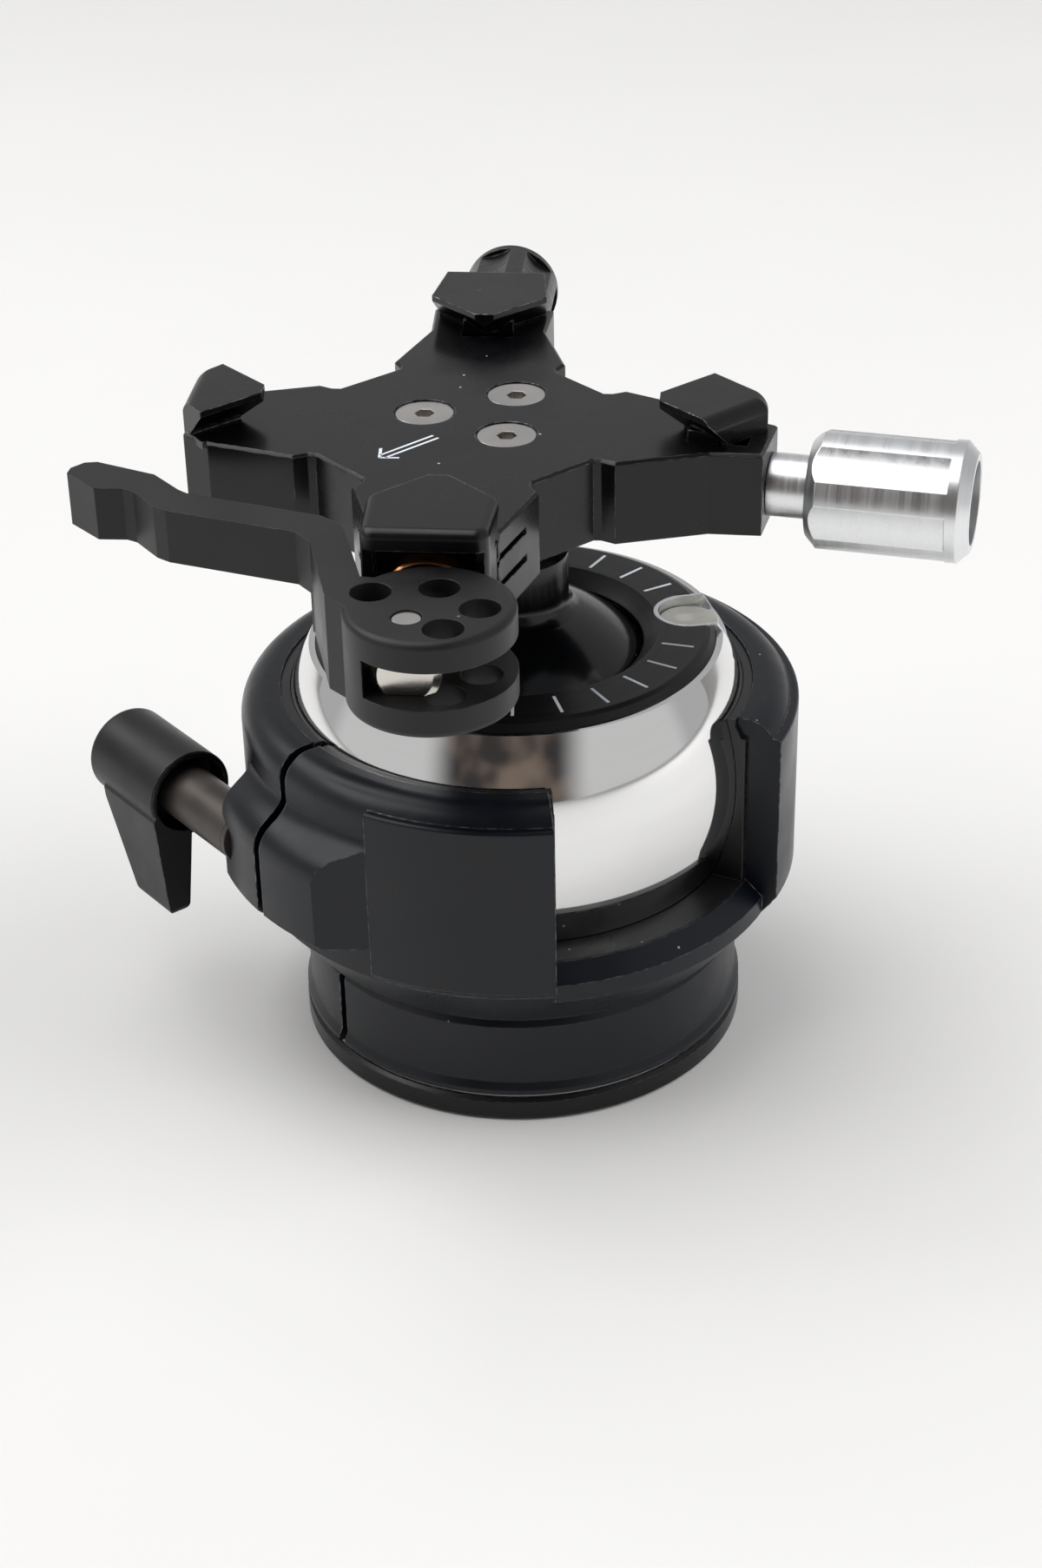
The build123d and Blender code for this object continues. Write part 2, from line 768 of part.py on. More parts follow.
with BuildPart() as scale_ring:
    with BuildSketch(Plane.XZ):
        Polygon(
            (ring_hole_radius, lip_bottom + seat_gap),
            (ball_bore_radius + seat_gap, lip_bottom + seat_gap),
            (ball_bore_radius + seat_gap, ring_bottom + seat_gap),
            (ring_radius, ring_bottom + seat_gap),
            (ring_radius, ring_top - ring_bevel),
            (ring_radius - 0.7 * ring_bevel, ring_top - 0.25 * ring_bevel),
            (ring_radius - 1.3 * ring_bevel, ring_top),
            (ring_cone_radius, ring_top),
            (ring_hole_radius, lip_bottom + 0.5),
            align=None,
        )
    revolve(axis=Axis.Z)
    add(notch(vial_cup_radius + seat_gap, 0), mode=Mode.SUBTRACT)
finish(scale_ring, "scale_ring")

with BuildPart() as vial_cup:
    add(notch(vial_cup_radius, 0))
    with Locations((0, 0, ball_height)):
        Sphere(ball_radius - slide_gap, mode=Mode.INTERSECT)
    with BuildSketch(Plane.XY.offset(vial_floor)):
        Circle(ball_radius)
    extrude(amount=ring_top - slide_gap - vial_floor, mode=Mode.INTERSECT)
    add(notch(vial_radius + seat_gap, vial_cup_floor), mode=Mode.SUBTRACT)
finish(vial_cup, "vial_cup")

with BuildPart() as bubble_vial:
    with BuildSketch(vial_place.offset(vial_cup_floor)):
        with Locations((vial_distance, 0)):
            Circle(vial_radius)
    extrude(amount=vial_height)
    fillet(bubble_vial.edges().group_by(Axis.Z)[-1], vial_dome)
finish(bubble_vial, "bubble_vial")

with BuildPart() as ball_retainer:
    retainer_face = inner_ball_radius + run_gap
    retainer_bottom = ring_bottom - retainer_height
    contact_top = retainer_bottom + retainer_contact
    contact_mid = retainer_bottom + retainer_contact / 2
    inner_wall = on_sphere(retainer_face, contact_top - ball_height)
    with BuildSketch(Plane.XZ):
        with BuildLine():
            ThreePointArc(
                (on_sphere(retainer_face, retainer_bottom - ball_height), retainer_bottom),
                (on_sphere(retainer_face, contact_mid - ball_height), contact_mid),
                (inner_wall, contact_top),
            )
            Polyline(
                (inner_wall, contact_top),
                (inner_wall, lip_bottom),
                (ball_bore_radius - seat_gap, lip_bottom),
                (ball_bore_radius - seat_gap, retainer_bottom),
                (on_sphere(retainer_face, retainer_bottom - ball_height), retainer_bottom),
            )
        make_face()
    revolve(axis=Axis.Z)
finish(ball_retainer, "ball_retainer")

# ================================================================== inner ball
def seat_point(radius, angle):
    """Point of the inner seat's section at an angle from straight down."""
    a = math.radians(angle)
    return (radius * math.sin(a), ball_height - radius * math.cos(a))


with BuildPart() as inner_seat:
    seat_inner = inner_ball_radius + run_gap
    seat_outer = ball_cavity_radius - run_gap
    middle = (inner_seat_start + inner_seat_end) / 2
    with BuildSketch(Plane.XZ):
        with BuildLine():
            ThreePointArc(
                seat_point(seat_inner, inner_seat_start),
                seat_point(seat_inner, middle),
                seat_point(seat_inner, inner_seat_end),
            )
            Line(seat_point(seat_inner, inner_seat_end), seat_point(seat_outer, inner_seat_end))
            ThreePointArc(
                seat_point(seat_outer, inner_seat_end),
                seat_point(seat_outer, middle),
                seat_point(seat_outer, inner_seat_start),
            )
            Line(seat_point(seat_outer, inner_seat_start), seat_point(seat_inner, inner_seat_start))
        make_face()
    revolve(axis=Axis.Z)
finish(inner_seat, "inner_seat")

flange_bottom = arm_bottom - head_flange_thickness

with BuildPart() as inner_ball:
    foot_height = ball_height + on_sphere(inner_ball_radius, neck_foot_radius)
    with BuildSketch(Plane.XZ):
        with BuildLine():
            ThreePointArc(
                (0, ball_height - inner_ball_radius),
                (inner_ball_radius, ball_height),
                (neck_foot_radius, foot_height),
            )
            ThreePointArc(
                (neck_foot_radius, foot_height),
                (neck_radius + 0.45, foot_height + 0.4 * neck_foot_rise),
                (neck_radius, foot_height + neck_foot_rise),
            )
            Polyline(
                (neck_radius, foot_height + neck_foot_rise),
                (neck_radius, flange_bottom - 4.5),
                (neck_top_radius, flange_bottom + 0.5),
                (0, flange_bottom + 0.5),
                (0, ball_height - inner_ball_radius),
            )
        make_face()
    revolve(axis=Axis.Z)
    with BuildSketch(Plane.XY.offset(flange_bottom)):
        with Locations((screw_circle_x, screw_circle_y)):
            Circle(head_flange_radius)
    extrude(amount=head_flange_thickness)
    with BuildSketch(Plane.XY.offset(flange_bottom)):
        with Locations((screw_circle_x, screw_circle_y)):
            with PolarLocations(screw_circle_radius, 3, start_angle=60):
                Circle(head_screw_radius)
    extrude(amount=head_flange_thickness, mode=Mode.SUBTRACT)
finish(inner_ball, "inner_ball")


# ================================================================== clamp
def arm_outline(end, end_width):
    """Plan of one arm, in the arm's own axes: its length, then half its width."""
    root = [(0, core_short), (core_long + 1.0, core_short), (shoulder_reach, shoulder_width)]
    half_plan = root + [(waist_reach, waist_width), (end, end_width)]
    return half_plan + [(x, -y) for x, y in reversed(half_plan)]


def right_arm_outline():
    """Plan of the right arm, whose end stands square to its skewed screw."""
    root = [(0, core_short), (core_long + 1.0, core_short), (shoulder_reach, shoulder_width)]
    rear = drive_point(0, arm_end, right_end_rear)
    front = drive_point(0, arm_end, -right_end_front)
    return root + [rear, front, (waist_reach, -waist_width)] + [(x, -y) for x, y in reversed(root)]


def nose_cut(azimuth, reach, low):
    """Cuts the two slanted, undercut faces of a jaw's nose into the part being built."""
    ux, uy, _ = unit(azimuth)
    for side in (1, -1):
        nx, ny, _ = unit(azimuth + side * 135)
        vx, vy, _ = unit(azimuth + 90)
        origin = (
            clamp_x + reach * ux + side * jaw_nose * vx,
            clamp_y + reach * uy + side * jaw_nose * vy,
            0,
        )
        lip = jaw_top - jaw_lip
        with BuildSketch(Plane(origin=origin, x_dir=(nx, ny, 0), z_dir=(ny, -nx, 0))) as cut:
            Polygon(
                (0, lip),
                (-jaw_undercut, lip - jaw_undercut),
                (-jaw_undercut, low),
                (12, low),
                (12, lip),
                align=None,
            )
        extrude(cut.sketch, amount=24, both=True, mode=Mode.SUBTRACT)


def jaw_outline(reach, tail, tail_width):
    """Plan of a jaw: flat nose, two faces at 45 degrees, then sides that run to the tail."""
    shoulder = reach + jaw_width - jaw_nose
    half_plan = [(reach, jaw_nose), (shoulder, jaw_width), (reach + tail, tail_width)]
    return half_plan + [(x, -y) for x, y in reversed(half_plan)]


with BuildPart() as clamp_body:
    with BuildSketch(arm_level(0, arm_bottom)):
        Polygon(
            (core_long, core_short), (core_short, core_long),
            (-core_short, core_long), (-core_long, core_short),
            (-core_long, -core_short), (-core_short, -core_long),
            (core_short, -core_long), (core_long, -core_short),
            align=None,
        )
    extrude(amount=arm_thickness)
    arms = (
        (0, right_arm_outline()),
        (90, arm_outline(arm_end, arm_end_width)),
        (180, arm_outline(fixed_arm_end, fixed_arm_end_width)),
        (270, arm_outline(front_arm_end, waist_width)),
    )
    for azimuth, outline in arms:
        with BuildSketch(arm_level(azimuth, arm_bottom)):
            Polygon(*outline, align=None)
        extrude(amount=arm_thickness)
    top_edges = clamp_body.faces().filter_by(Axis.Z).sort_by(Axis.Z)[-1].edges()
    chamfer(top_edges, edge_break)
    # the fixed jaw is one with the left arm
    fixed_tail = fixed_arm_end - fixed_jaw_reach
    with BuildSketch(arm_level(180, platform_height - 1)):
        Polygon(*jaw_outline(fixed_jaw_reach, fixed_tail, fixed_jaw_tail_width), align=None)
    extrude(amount=jaw_rise + 1)
    fixed_top = clamp_body.faces().filter_by(Axis.Z).sort_by(Axis.Z)[-1]
    fillet(fixed_top.edges().sort_by(Axis.X)[0], jaw_end_round)
    nose_cut(180, fixed_jaw_reach, platform_height)
    # channels for the tongues of the two screw-driven jaws
    for azimuth in (0, 90):
        channel_middle = (channel_start + channel_end) / 2
        with BuildSketch(drive_level(azimuth, channel_middle, drive_height - tongue_width - slide_gap)):
            Rectangle(channel_end - channel_start, 2 * (tongue_width + slide_gap))
        extrude(amount=arm_thickness, mode=Mode.SUBTRACT)
        with BuildSketch(drive_across(azimuth, jaw_reach - 1)):
            Circle(drive_screw_radius + run_gap)
        extrude(amount=arm_end, mode=Mode.SUBTRACT)
    # bores for the pull rod and the guide pins of the front jaw
    with BuildSketch(arm_across(270, rod_inner_end)):
        with Locations((pull_offset, 0)):
            Circle(rod_radius + seat_gap)
    extrude(amount=20, mode=Mode.SUBTRACT)
    with BuildSketch(arm_across(270, front_arm_end - 8)):
        for side in (1, -1):
            with Locations((side * guide_pin_spread, 0)):
                Circle(guide_pin_radius + seat_gap)
    extrude(amount=20, mode=Mode.SUBTRACT)
    # grooves along both flanks of the front arm
    for side in (1, -1):
        for groove in (0.33, 0.66):
            with BuildSketch(arm_level(270, arm_bottom + groove * arm_thickness)):
                with Locations((front_arm_end, side * (waist_width + 1.0))):
                    Rectangle(20, 4.0)
            extrude(amount=0.9, mode=Mode.SUBTRACT)
    # counterbored seats of the three screws
    with BuildSketch(Plane.XY.offset(arm_bottom)):
        with Locations((screw_circle_x, screw_circle_y)):
            with PolarLocations(screw_circle_radius, 3, start_angle=60):
                Circle(head_screw_radius + seat_gap)
    extrude(amount=arm_thickness + 1, mode=Mode.SUBTRACT)
    seat_depth = head_screw_head - head_screw_radius
    for corner in PolarLocations(screw_circle_radius, 3, start_angle=60):
        place = (screw_circle_x + corner.position.X, screw_circle_y + corner.position.Y)
        with BuildSketch(Plane.XY.offset(platform_height - 0.3 - seat_depth)):
            with Locations(place):
                Circle(head_screw_radius + seat_gap)
        with BuildSketch(Plane.XY.offset(platform_height - 0.3)):
            with Locations(place):
                Circle(head_screw_head + seat_gap)
        loft(mode=Mode.SUBTRACT)
        with BuildSketch(Plane.XY.offset(platform_height - 0.3)):
            with Locations(place):
                Circle(head_screw_recess)
        extrude(amount=2, mode=Mode.SUBTRACT)
finish(clamp_body, "clamp_body")

with BuildPart() as clamp_screws:
    for corner in PolarLocations(screw_circle_radius, 3, start_angle=60):
        place = (screw_circle_x + corner.position.X, screw_circle_y + corner.position.Y)
        head_face = platform_height - 0.15
        cone_top = platform_height - 0.3
        with BuildSketch(Plane.XY.offset(cone_top - seat_depth)):
            with Locations(place):
                Circle(head_screw_radius)
        with BuildSketch(Plane.XY.offset(cone_top)):
            with Locations(place):
                Circle(head_screw_head)
        loft()
        with BuildSketch(Plane.XY.offset(cone_top)):
            with Locations(place):
                Circle(head_screw_head)
        extrude(amount=head_face - cone_top)
        with BuildSketch(Plane.XY.offset(flange_bottom + 0.4)):
            with Locations(place):
                Circle(head_screw_radius)
        extrude(amount=cone_top - seat_depth - flange_bottom - 0.4)
        with BuildSketch(Plane.XY.offset(head_face)):
            with Locations(place):
                RegularPolygon(head_screw_socket, 6)
        extrude(amount=-1.8, mode=Mode.SUBTRACT)
finish(clamp_screws, "clamp_screws")


# ================================================================== screw-driven jaws
def screw_jaw(azimuth, reach, tail, tail_width, label):
    """A jaw that slides along its arm on a tongue, which its screw passes through."""
    with BuildPart() as jaw:
        with BuildSketch(arm_level(azimuth, platform_height + slide_gap)):
            Polygon(*jaw_outline(reach, tail, tail_width), align=None)
        extrude(amount=jaw_rise - slide_gap)
        rear = jaw.faces().sort_by(Axis.Z)[-1].edges()
        along = Axis(origin=(clamp_x, clamp_y, 0), direction=unit(azimuth))
        if tail_width < 1:
            fillet(rear.sort_by(along)[-2:], jaw_end_round)
        else:
            fillet(rear.sort_by(along)[-1], 0.6)
        nose_cut(azimuth, reach, platform_height)
        tongue_middle = reach + tongue_start + tongue_length / 2
        with BuildSketch(drive_level(azimuth, tongue_middle, drive_height - tongue_width)):
            Rectangle(tongue_length, 2 * tongue_width)
        extrude(amount=platform_height + 1.5 - drive_height + tongue_width)
        with BuildSketch(drive_across(azimuth, reach)):
            Circle(drive_screw_radius + run_gap)
        extrude(amount=tongue_start + tongue_length + 1, mode=Mode.SUBTRACT)
    finish(jaw, label)


def knob(azimuth, radius, label):
    """Turned knob with a neck, shallow flutes and a bored end."""
    start = arm_end + slide_gap
    body = start + knob_neck_length
    end = body + knob_length
    with BuildPart() as turned:
        with BuildSketch(drive_across(azimuth, start)):
            Circle(knob_neck_radius)
        extrude(amount=knob_neck_length + 0.5)
        with BuildSketch(drive_across(azimuth, body)):
            Circle(radius)
        extrude(amount=knob_length)
        rims = turned.edges().filter_by(GeomType.CIRCLE).filter_by(lambda e: abs(e.radius - radius) < 0.01)
        chamfer(rims, knob_edge)
        with BuildSketch(drive_across(azimuth, body - 0.1)):
            with PolarLocations(radius + knob_flute_radius - knob_flute_depth, knob_flutes, start_angle=11):
                Circle(knob_flute_radius)
        extrude(amount=knob_length - knob_band, mode=Mode.SUBTRACT)
        with BuildSketch(drive_across(azimuth, start)):
            Circle(drive_screw_radius + seat_gap)
        extrude(amount=knob_neck_length + knob_length, mode=Mode.SUBTRACT)
        with BuildSketch(drive_across(azimuth, end - knob_bore_depth)):
            Circle(knob_bore_radius)
        extrude(amount=knob_bore_depth, mode=Mode.SUBTRACT)
    finish(turned, label)


def drive_screw(azimuth, label):
    """Cap screw that is fast in the knob and turns in the arm's end wall."""
    head = arm_end + slide_gap + knob_neck_length + knob_length - knob_bore_depth
    start = jaw_reach + tongue_start - 0.2
    with BuildPart() as screw:
        with BuildSketch(drive_across(azimuth, start)):
            Circle(drive_screw_radius)
        extrude(amount=head - start)
        with BuildSketch(drive_across(azimuth, head)):
            Circle(cap_head_radius)
        extrude(amount=cap_head_height)
        with BuildSketch(drive_across(azimuth, head + cap_head_height)):
            RegularPolygon(cap_socket_radius, 6)
        extrude(amount=-2.6, mode=Mode.SUBTRACT)
    finish(screw, label)


def retaining_clip(azimuth, label):
    """Clip on the drive screw, against the inner side of the arm's end wall."""
    with BuildPart() as clip:
        with BuildSketch(drive_across(azimuth, channel_end - slide_gap - clip_thickness)):
            Circle(clip_radius)
            Circle(drive_screw_radius, mode=Mode.SUBTRACT)
            with Locations((0, -clip_radius)):
                Rectangle(2.4, 2 * clip_radius - 2.0, mode=Mode.SUBTRACT)
        extrude(amount=clip_thickness)
    finish(clip, label)


screw_jaw(0, jaw_reach, side_jaw_tail, 0.6, "right_jaw")
screw_jaw(90, jaw_reach + back_jaw_shift, back_jaw_tail, back_jaw_tail_width, "back_jaw")
knob(0, knob_radius, "right_knob")
knob(90, back_knob_radius, "back_knob")
for side_name, side_azimuth in (("right", 0), ("back", 90)):
    drive_screw(side_azimuth, f"{side_name}_screw")
    retaining_clip(side_azimuth, f"{side_name}_clip")

# ================================================================== front jaw and cam lever
with BuildPart() as front_jaw:
    with BuildSketch(arm_level(270, arm_bottom)):
        Polygon(*jaw_outline(jaw_reach, front_jaw_length, front_jaw_end_width), align=None)
    extrude(amount=jaw_top - arm_bottom)
    corners = front_jaw.edges().filter_by(Axis.Z).sort_by(Axis.Y)[:2]
    fillet(corners, front_jaw_round)
    top_edges = front_jaw.faces().sort_by(Axis.Z)[-1].edges()
    fillet(top_edges.sort_by(Axis.Y)[:3], front_top_round)
    # only the block beyond the arm's end reaches down past the platform
    with BuildSketch(arm_level(270, arm_bottom)):
        with Locations(((front_arm_end + front_jaw_gap) / 2, 0)):
            Rectangle(front_arm_end + front_jaw_gap, 3 * jaw_width)
    extrude(amount=platform_height + slide_gap - arm_bottom, mode=Mode.SUBTRACT)
    nose_cut(270, jaw_reach, platform_height)
    # pocket for the thrust plate, open below
    with BuildSketch(arm_level(270, arm_bottom)):
        with Locations((front_face, 0)):
            Rectangle(2 * pocket_depth, 2 * pocket_half_width)
        with Locations((pin_reach, pull_offset)):
            Circle(cam_sweep + cam_relief)
    extrude(amount=pocket_top - arm_bottom, mode=Mode.SUBTRACT)
    with BuildSketch(arm_across(270, front_arm_end)):
        with Locations((pull_offset, 0)):
            Circle(rod_radius + run_gap)
        for side in (1, -1):
            with Locations((side * guide_pin_spread, 0)):
                Circle(guide_pin_radius + run_gap)
    extrude(amount=20, mode=Mode.SUBTRACT)
finish(front_jaw, "front_jaw")

with BuildPart() as guide_pins:
    with BuildSketch(arm_across(270, front_arm_end - 8)):
        for side in (1, -1):
            with Locations((side * guide_pin_spread, 0)):
                Circle(guide_pin_radius)
    extrude(amount=8 + plate_seat - front_arm_end - 0.4)
finish(guide_pins, "guide_pins")

with BuildPart() as thrust_plate:
    with BuildSketch(arm_across(270, plate_seat)):
        Circle(plate_radius)
        with Locations((pull_offset, 0)):
            Circle(rod_radius + run_gap, mode=Mode.SUBTRACT)
    extrude(amount=plate_thickness)
    rims = thrust_plate.edges().filter_by(GeomType.CIRCLE).filter_by(lambda e: e.radius > plate_radius - 0.1)
    chamfer(rims.sort_by(Axis.Y)[0], 0.3)
finish(thrust_plate, "thrust_plate")

fork_bottom = drive_height - fork_height / 2
fork_top = drive_height + fork_height / 2
pin_plane = Plane(origin=(clamp_x + pull_offset, clamp_y - pin_reach, 0))

with BuildPart() as pull_rod:
    with BuildSketch(arm_across(270, rod_inner_end)):
        with Locations((pull_offset, 0)):
            Circle(rod_radius)
    extrude(amount=pin_reach - rod_inner_end)
    # round head that fits between the cheeks and holds the pin
    with BuildSketch(arm_across(270, pin_reach - rod_head_reach)):
        with Locations((pull_offset, 0)):
            Circle(rod_head_radius)
    extrude(amount=2 * rod_head_reach)
    head_rims = pull_rod.edges().filter_by(GeomType.CIRCLE)
    head_rims = head_rims.filter_by(lambda e: e.radius > rod_head_radius - 0.1)
    chamfer(head_rims, rod_head_edge)
    flat = fork_gap / 2 - slide_gap
    with BuildSketch(pin_plane.offset(drive_height - flat)):
        Rectangle(60, 200)
    extrude(amount=2 * flat, mode=Mode.INTERSECT)
    with BuildSketch(pin_plane.offset(fork_bottom)):
        Circle(pin_radius + seat_gap)
    extrude(amount=fork_height, mode=Mode.SUBTRACT)
finish(pull_rod, "pull_rod")

with BuildPart() as cam_pin:
    with BuildSketch(pin_plane.offset(fork_bottom + 0.2)):
        Circle(pin_radius)
    extrude(amount=fork_height - 0.4)
    chamfer(cam_pin.edges(), 0.15)
finish(cam_pin, "cam_pin")

# plan of the lever from the pin: the fork's left side, the shank and the stepped handle
shank_outline = [
    (0.0, -4.5), (-0.5, -4.3), (-10.1, 4.9), (-14.0, 18.7), (-16.1, 21.2), (-33.0, 26.3),
    (-34.8, 27.5), (-38.2, 31.6), (-39.6, 32.3), (-43.2, 32.2), (-47.6, 36.5), (-47.5, 38.1),
    (-46.1, 39.8), (-44.5, 40.1), (-36.5, 36.7), (-32.6, 32.4), (-31.3, 31.4), (-13.7, 25.9),
    (-11.2, 23.9), (-10.4, 22.4), (-6.7, 9.9), (0.0, 9.0),
]
lightening_holes = [(-4.9, 6.0), (2.9, 7.4), (8.1, 2.6), (4.5, -2.6)]

with BuildPart() as cam_lever:
    with BuildSketch(pin_plane.offset(fork_bottom)) as lever_plan:
        with Locations((cam_offset_x, cam_offset_y)):
            Circle(cam_radius)
        Polygon(*shank_outline, align=None)
    extrude(amount=fork_height)
    for face_index in (0, -1):
        rim = cam_lever.faces().filter_by(Axis.Z).sort_by(Axis.Z)[face_index]
        arcs = rim.outer_wire().edges().filter_by(GeomType.CIRCLE)
        fillet(arcs, fork_round)
    # the handle is thinner than the fork: it is relieved below, beyond the bend
    with BuildSketch(pin_plane.offset(fork_bottom)):
        Polygon((-13.0, 42), (-8.6, 27.5), (-18.0, 13.5), (-60, 13.5), (-60, 47), (-13.0, 47), align=None)
    extrude(amount=fork_height - handle_height, mode=Mode.SUBTRACT)
    # gap between the two cheeks
    with BuildSketch(pin_plane.offset(drive_height - fork_gap / 2)):
        with Locations((20 - fork_web, 2)):
            Rectangle(40, 60)
    extrude(amount=fork_gap, mode=Mode.SUBTRACT)
    with BuildSketch(pin_plane.offset(fork_bottom)):
        Circle(pin_radius + run_gap)
        for hole in lightening_holes:
            with Locations(hole):
                Circle(lightening_radius)
    extrude(amount=fork_height, mode=Mode.SUBTRACT)
finish(cam_lever, "cam_lever")
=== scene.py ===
"""Finishes, fine pieces and a plain studio for the tripod ball head, built on its CAD frame."""

import logging
import math
from dataclasses import dataclass
from enum import Enum

import bpy
import numpy as np
from mathutils import Matrix, Vector


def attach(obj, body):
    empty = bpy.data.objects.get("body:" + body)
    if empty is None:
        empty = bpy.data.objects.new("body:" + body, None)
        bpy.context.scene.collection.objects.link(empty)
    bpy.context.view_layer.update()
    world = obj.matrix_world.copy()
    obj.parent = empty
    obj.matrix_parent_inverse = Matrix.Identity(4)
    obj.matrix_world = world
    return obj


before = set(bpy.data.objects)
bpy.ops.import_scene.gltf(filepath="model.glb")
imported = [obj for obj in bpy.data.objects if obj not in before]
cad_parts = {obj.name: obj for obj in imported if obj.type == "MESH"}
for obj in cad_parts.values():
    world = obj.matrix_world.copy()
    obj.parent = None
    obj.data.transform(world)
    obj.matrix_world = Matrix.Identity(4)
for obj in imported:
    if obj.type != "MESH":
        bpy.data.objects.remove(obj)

MM = 0.001
SMOOTH_ANGLE = 40.0         # edges sharper than this many degrees stay sharp
PRINT_DEPTH = 0.05          # how far a printed stroke is sunk into its face, in millimetres
PRINT_PROUD = 0.02          # how far its top stands above the face
Color = tuple[float, float, float]
Socket = bpy.types.NodeSocket

logging.basicConfig(level=logging.INFO, format="%(message)s")
log = logging.getLogger("ball_head")


# ---------------------------------------------------------------- surfaces
@dataclass(frozen=True)
class Seat:
    """A place in the row frame: an origin in millimetres and the directions of local x, y and z."""

    origin: tuple[float, float, float]
    x: tuple[float, float, float] = (1.0, 0.0, 0.0)
    z: tuple[float, float, float] = (0.0, 0.0, 1.0)

    def put(self, points: np.ndarray) -> np.ndarray:
        """Moves local points into the row frame.

        Args:
            points: (..., 3) array in local millimetres.

        Returns:
            The same array shape in row millimetres.
        """
        z = np.array(self.z) / np.linalg.norm(self.z)
        x = np.array(self.x) / np.linalg.norm(self.x)
        y = np.cross(z, x)
        return np.array(self.origin) + points @ np.stack([x, y, z])


def arc(radius: float, start: float, end: float, count: int, height: float = 0.0) -> np.ndarray:
    """Points of a circle's section: r is the radius times sine, h the height plus the radius times cosine.

    Args:
        radius: circle radius.
        start: first angle from straight up, in degrees.
        end: last angle.
        count: number of points.
        height: height of the circle's middle.

    Returns:
        (count, 2) array of distance from the axis and height.
    """
    angle = np.radians(np.linspace(start, end, count))
    return np.stack([radius * np.sin(angle), height + radius * np.cos(angle)], axis=1)


def revolve(profile: np.ndarray, segments: int) -> tuple[np.ndarray, list[list[int]]]:
    """Turns a section about the local z axis: x is r times cosine, y is r times sine, z is h.

    Args:
        profile: (n, 2) points of distance from the axis and height, with both ends on the axis.
        segments: points round the axis.

    Returns:
        Vertices and faces of a closed surface.
    """
    ring = profile[1:-1]
    angle = np.linspace(0, 2 * math.pi, segments, endpoint=False)
    x = ring[:, :1] * np.cos(angle)
    y = ring[:, :1] * np.sin(angle)
    z = np.broadcast_to(ring[:, 1:], x.shape)
    poles = np.array([[0, 0, profile[0, 1]], [0, 0, profile[-1, 1]]])
    points = np.concatenate([np.stack([x, y, z], axis=-1).reshape(-1, 3), poles])
    first, last = len(points) - 2, len(points) - 1
    column = np.arange(segments)
    following = (column + 1) % segments
    final = (len(ring) - 1) * segments
    faces = quads(len(ring), segments)
    faces += np.stack([np.full(segments, first), following, column], axis=1).tolist()
    faces += np.stack([np.full(segments, last), final + column, final + following], axis=1).tolist()
    return points, faces


def quads(rows: int, columns: int) -> list[list[int]]:
    """Faces of a grid whose columns close on themselves.

    Args:
        rows: number of rows of vertices.
        columns: number of vertices in each row.

    Returns:
        Vertex numbers of each face.
    """
    row = np.arange(rows - 1)[:, None]
    column = np.arange(columns)[None, :]
    column_after = (column + 1) % columns
    corners = (
        row * columns + column,
        row * columns + column_after,
        (row + 1) * columns + column_after,
        (row + 1) * columns + column,
    )
    return np.stack(np.broadcast_arrays(*corners), axis=-1).reshape(-1, 4).tolist()


def make_piece(name: str, points: np.ndarray, faces: list[list[int]], seat: Seat, body: str) -> bpy.types.Object:
    """Makes one mesh piece of the object.

    Args:
        name: name of the piece.
        points: local vertices in millimetres.
        faces: vertex numbers of each face.
        seat: where the local axes lie.
        body: the CAD body it moves with.

    Returns:
        The new object, linked to the scene.
    """
    mesh = bpy.data.meshes.new(name)
    mesh.from_pydata((seat.put(points) * MM).tolist(), [], faces)
    mesh.update()
    piece = bpy.data.objects.new(name, mesh)
    bpy.context.scene.collection.objects.link(piece)
    mesh.shade_smooth()
    mesh.set_sharp_from_angle(angle=math.radians(SMOOTH_ANGLE))
    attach(piece, body)
    log.info("piece %s: %d faces on %s", name, len(faces), body)
    return piece


def slab(start: np.ndarray, end: np.ndarray, width: float) -> tuple[np.ndarray, list[list[int]]]:
    """A flat printed stroke: its plan is a rectangle along a line, its top just proud of the face.

    Args:
        start: plan point where the stroke starts, in local millimetres.
        end: plan point where it ends.
        width: width of the stroke.

    Returns:
        Vertices and faces of a closed surface.
    """
    along = (end - start) / np.linalg.norm(end - start)
    side = np.array([-along[1], along[0]]) * width / 2
    plan = np.array([start + side, start - side, end - side, end + side])
    levels = [np.column_stack([plan, np.full(4, height)]) for height in (PRINT_PROUD, -PRINT_DEPTH)]
    faces = [[0, 1, 2, 3], [7, 6, 5, 4]]
    faces += [[(n + 1) % 4, n, n + 4, (n + 1) % 4 + 4] for n in range(4)]
    return np.concatenate(levels), faces


def joined(parts: list[tuple[np.ndarray, list[list[int]]]]) -> tuple[np.ndarray, list[list[int]]]:
    """Puts several closed surfaces into one mesh's vertices and faces.

    Args:
        parts: vertices and faces of each surface.

    Returns:
        Vertices and faces of them all.
    """
    points = np.concatenate([part[0] for part in parts])
    faces = []
    first = 0
    for vertices, corners in parts:
        faces += [[first + corner for corner in face] for face in corners]
        first += len(vertices)
    return points, faces


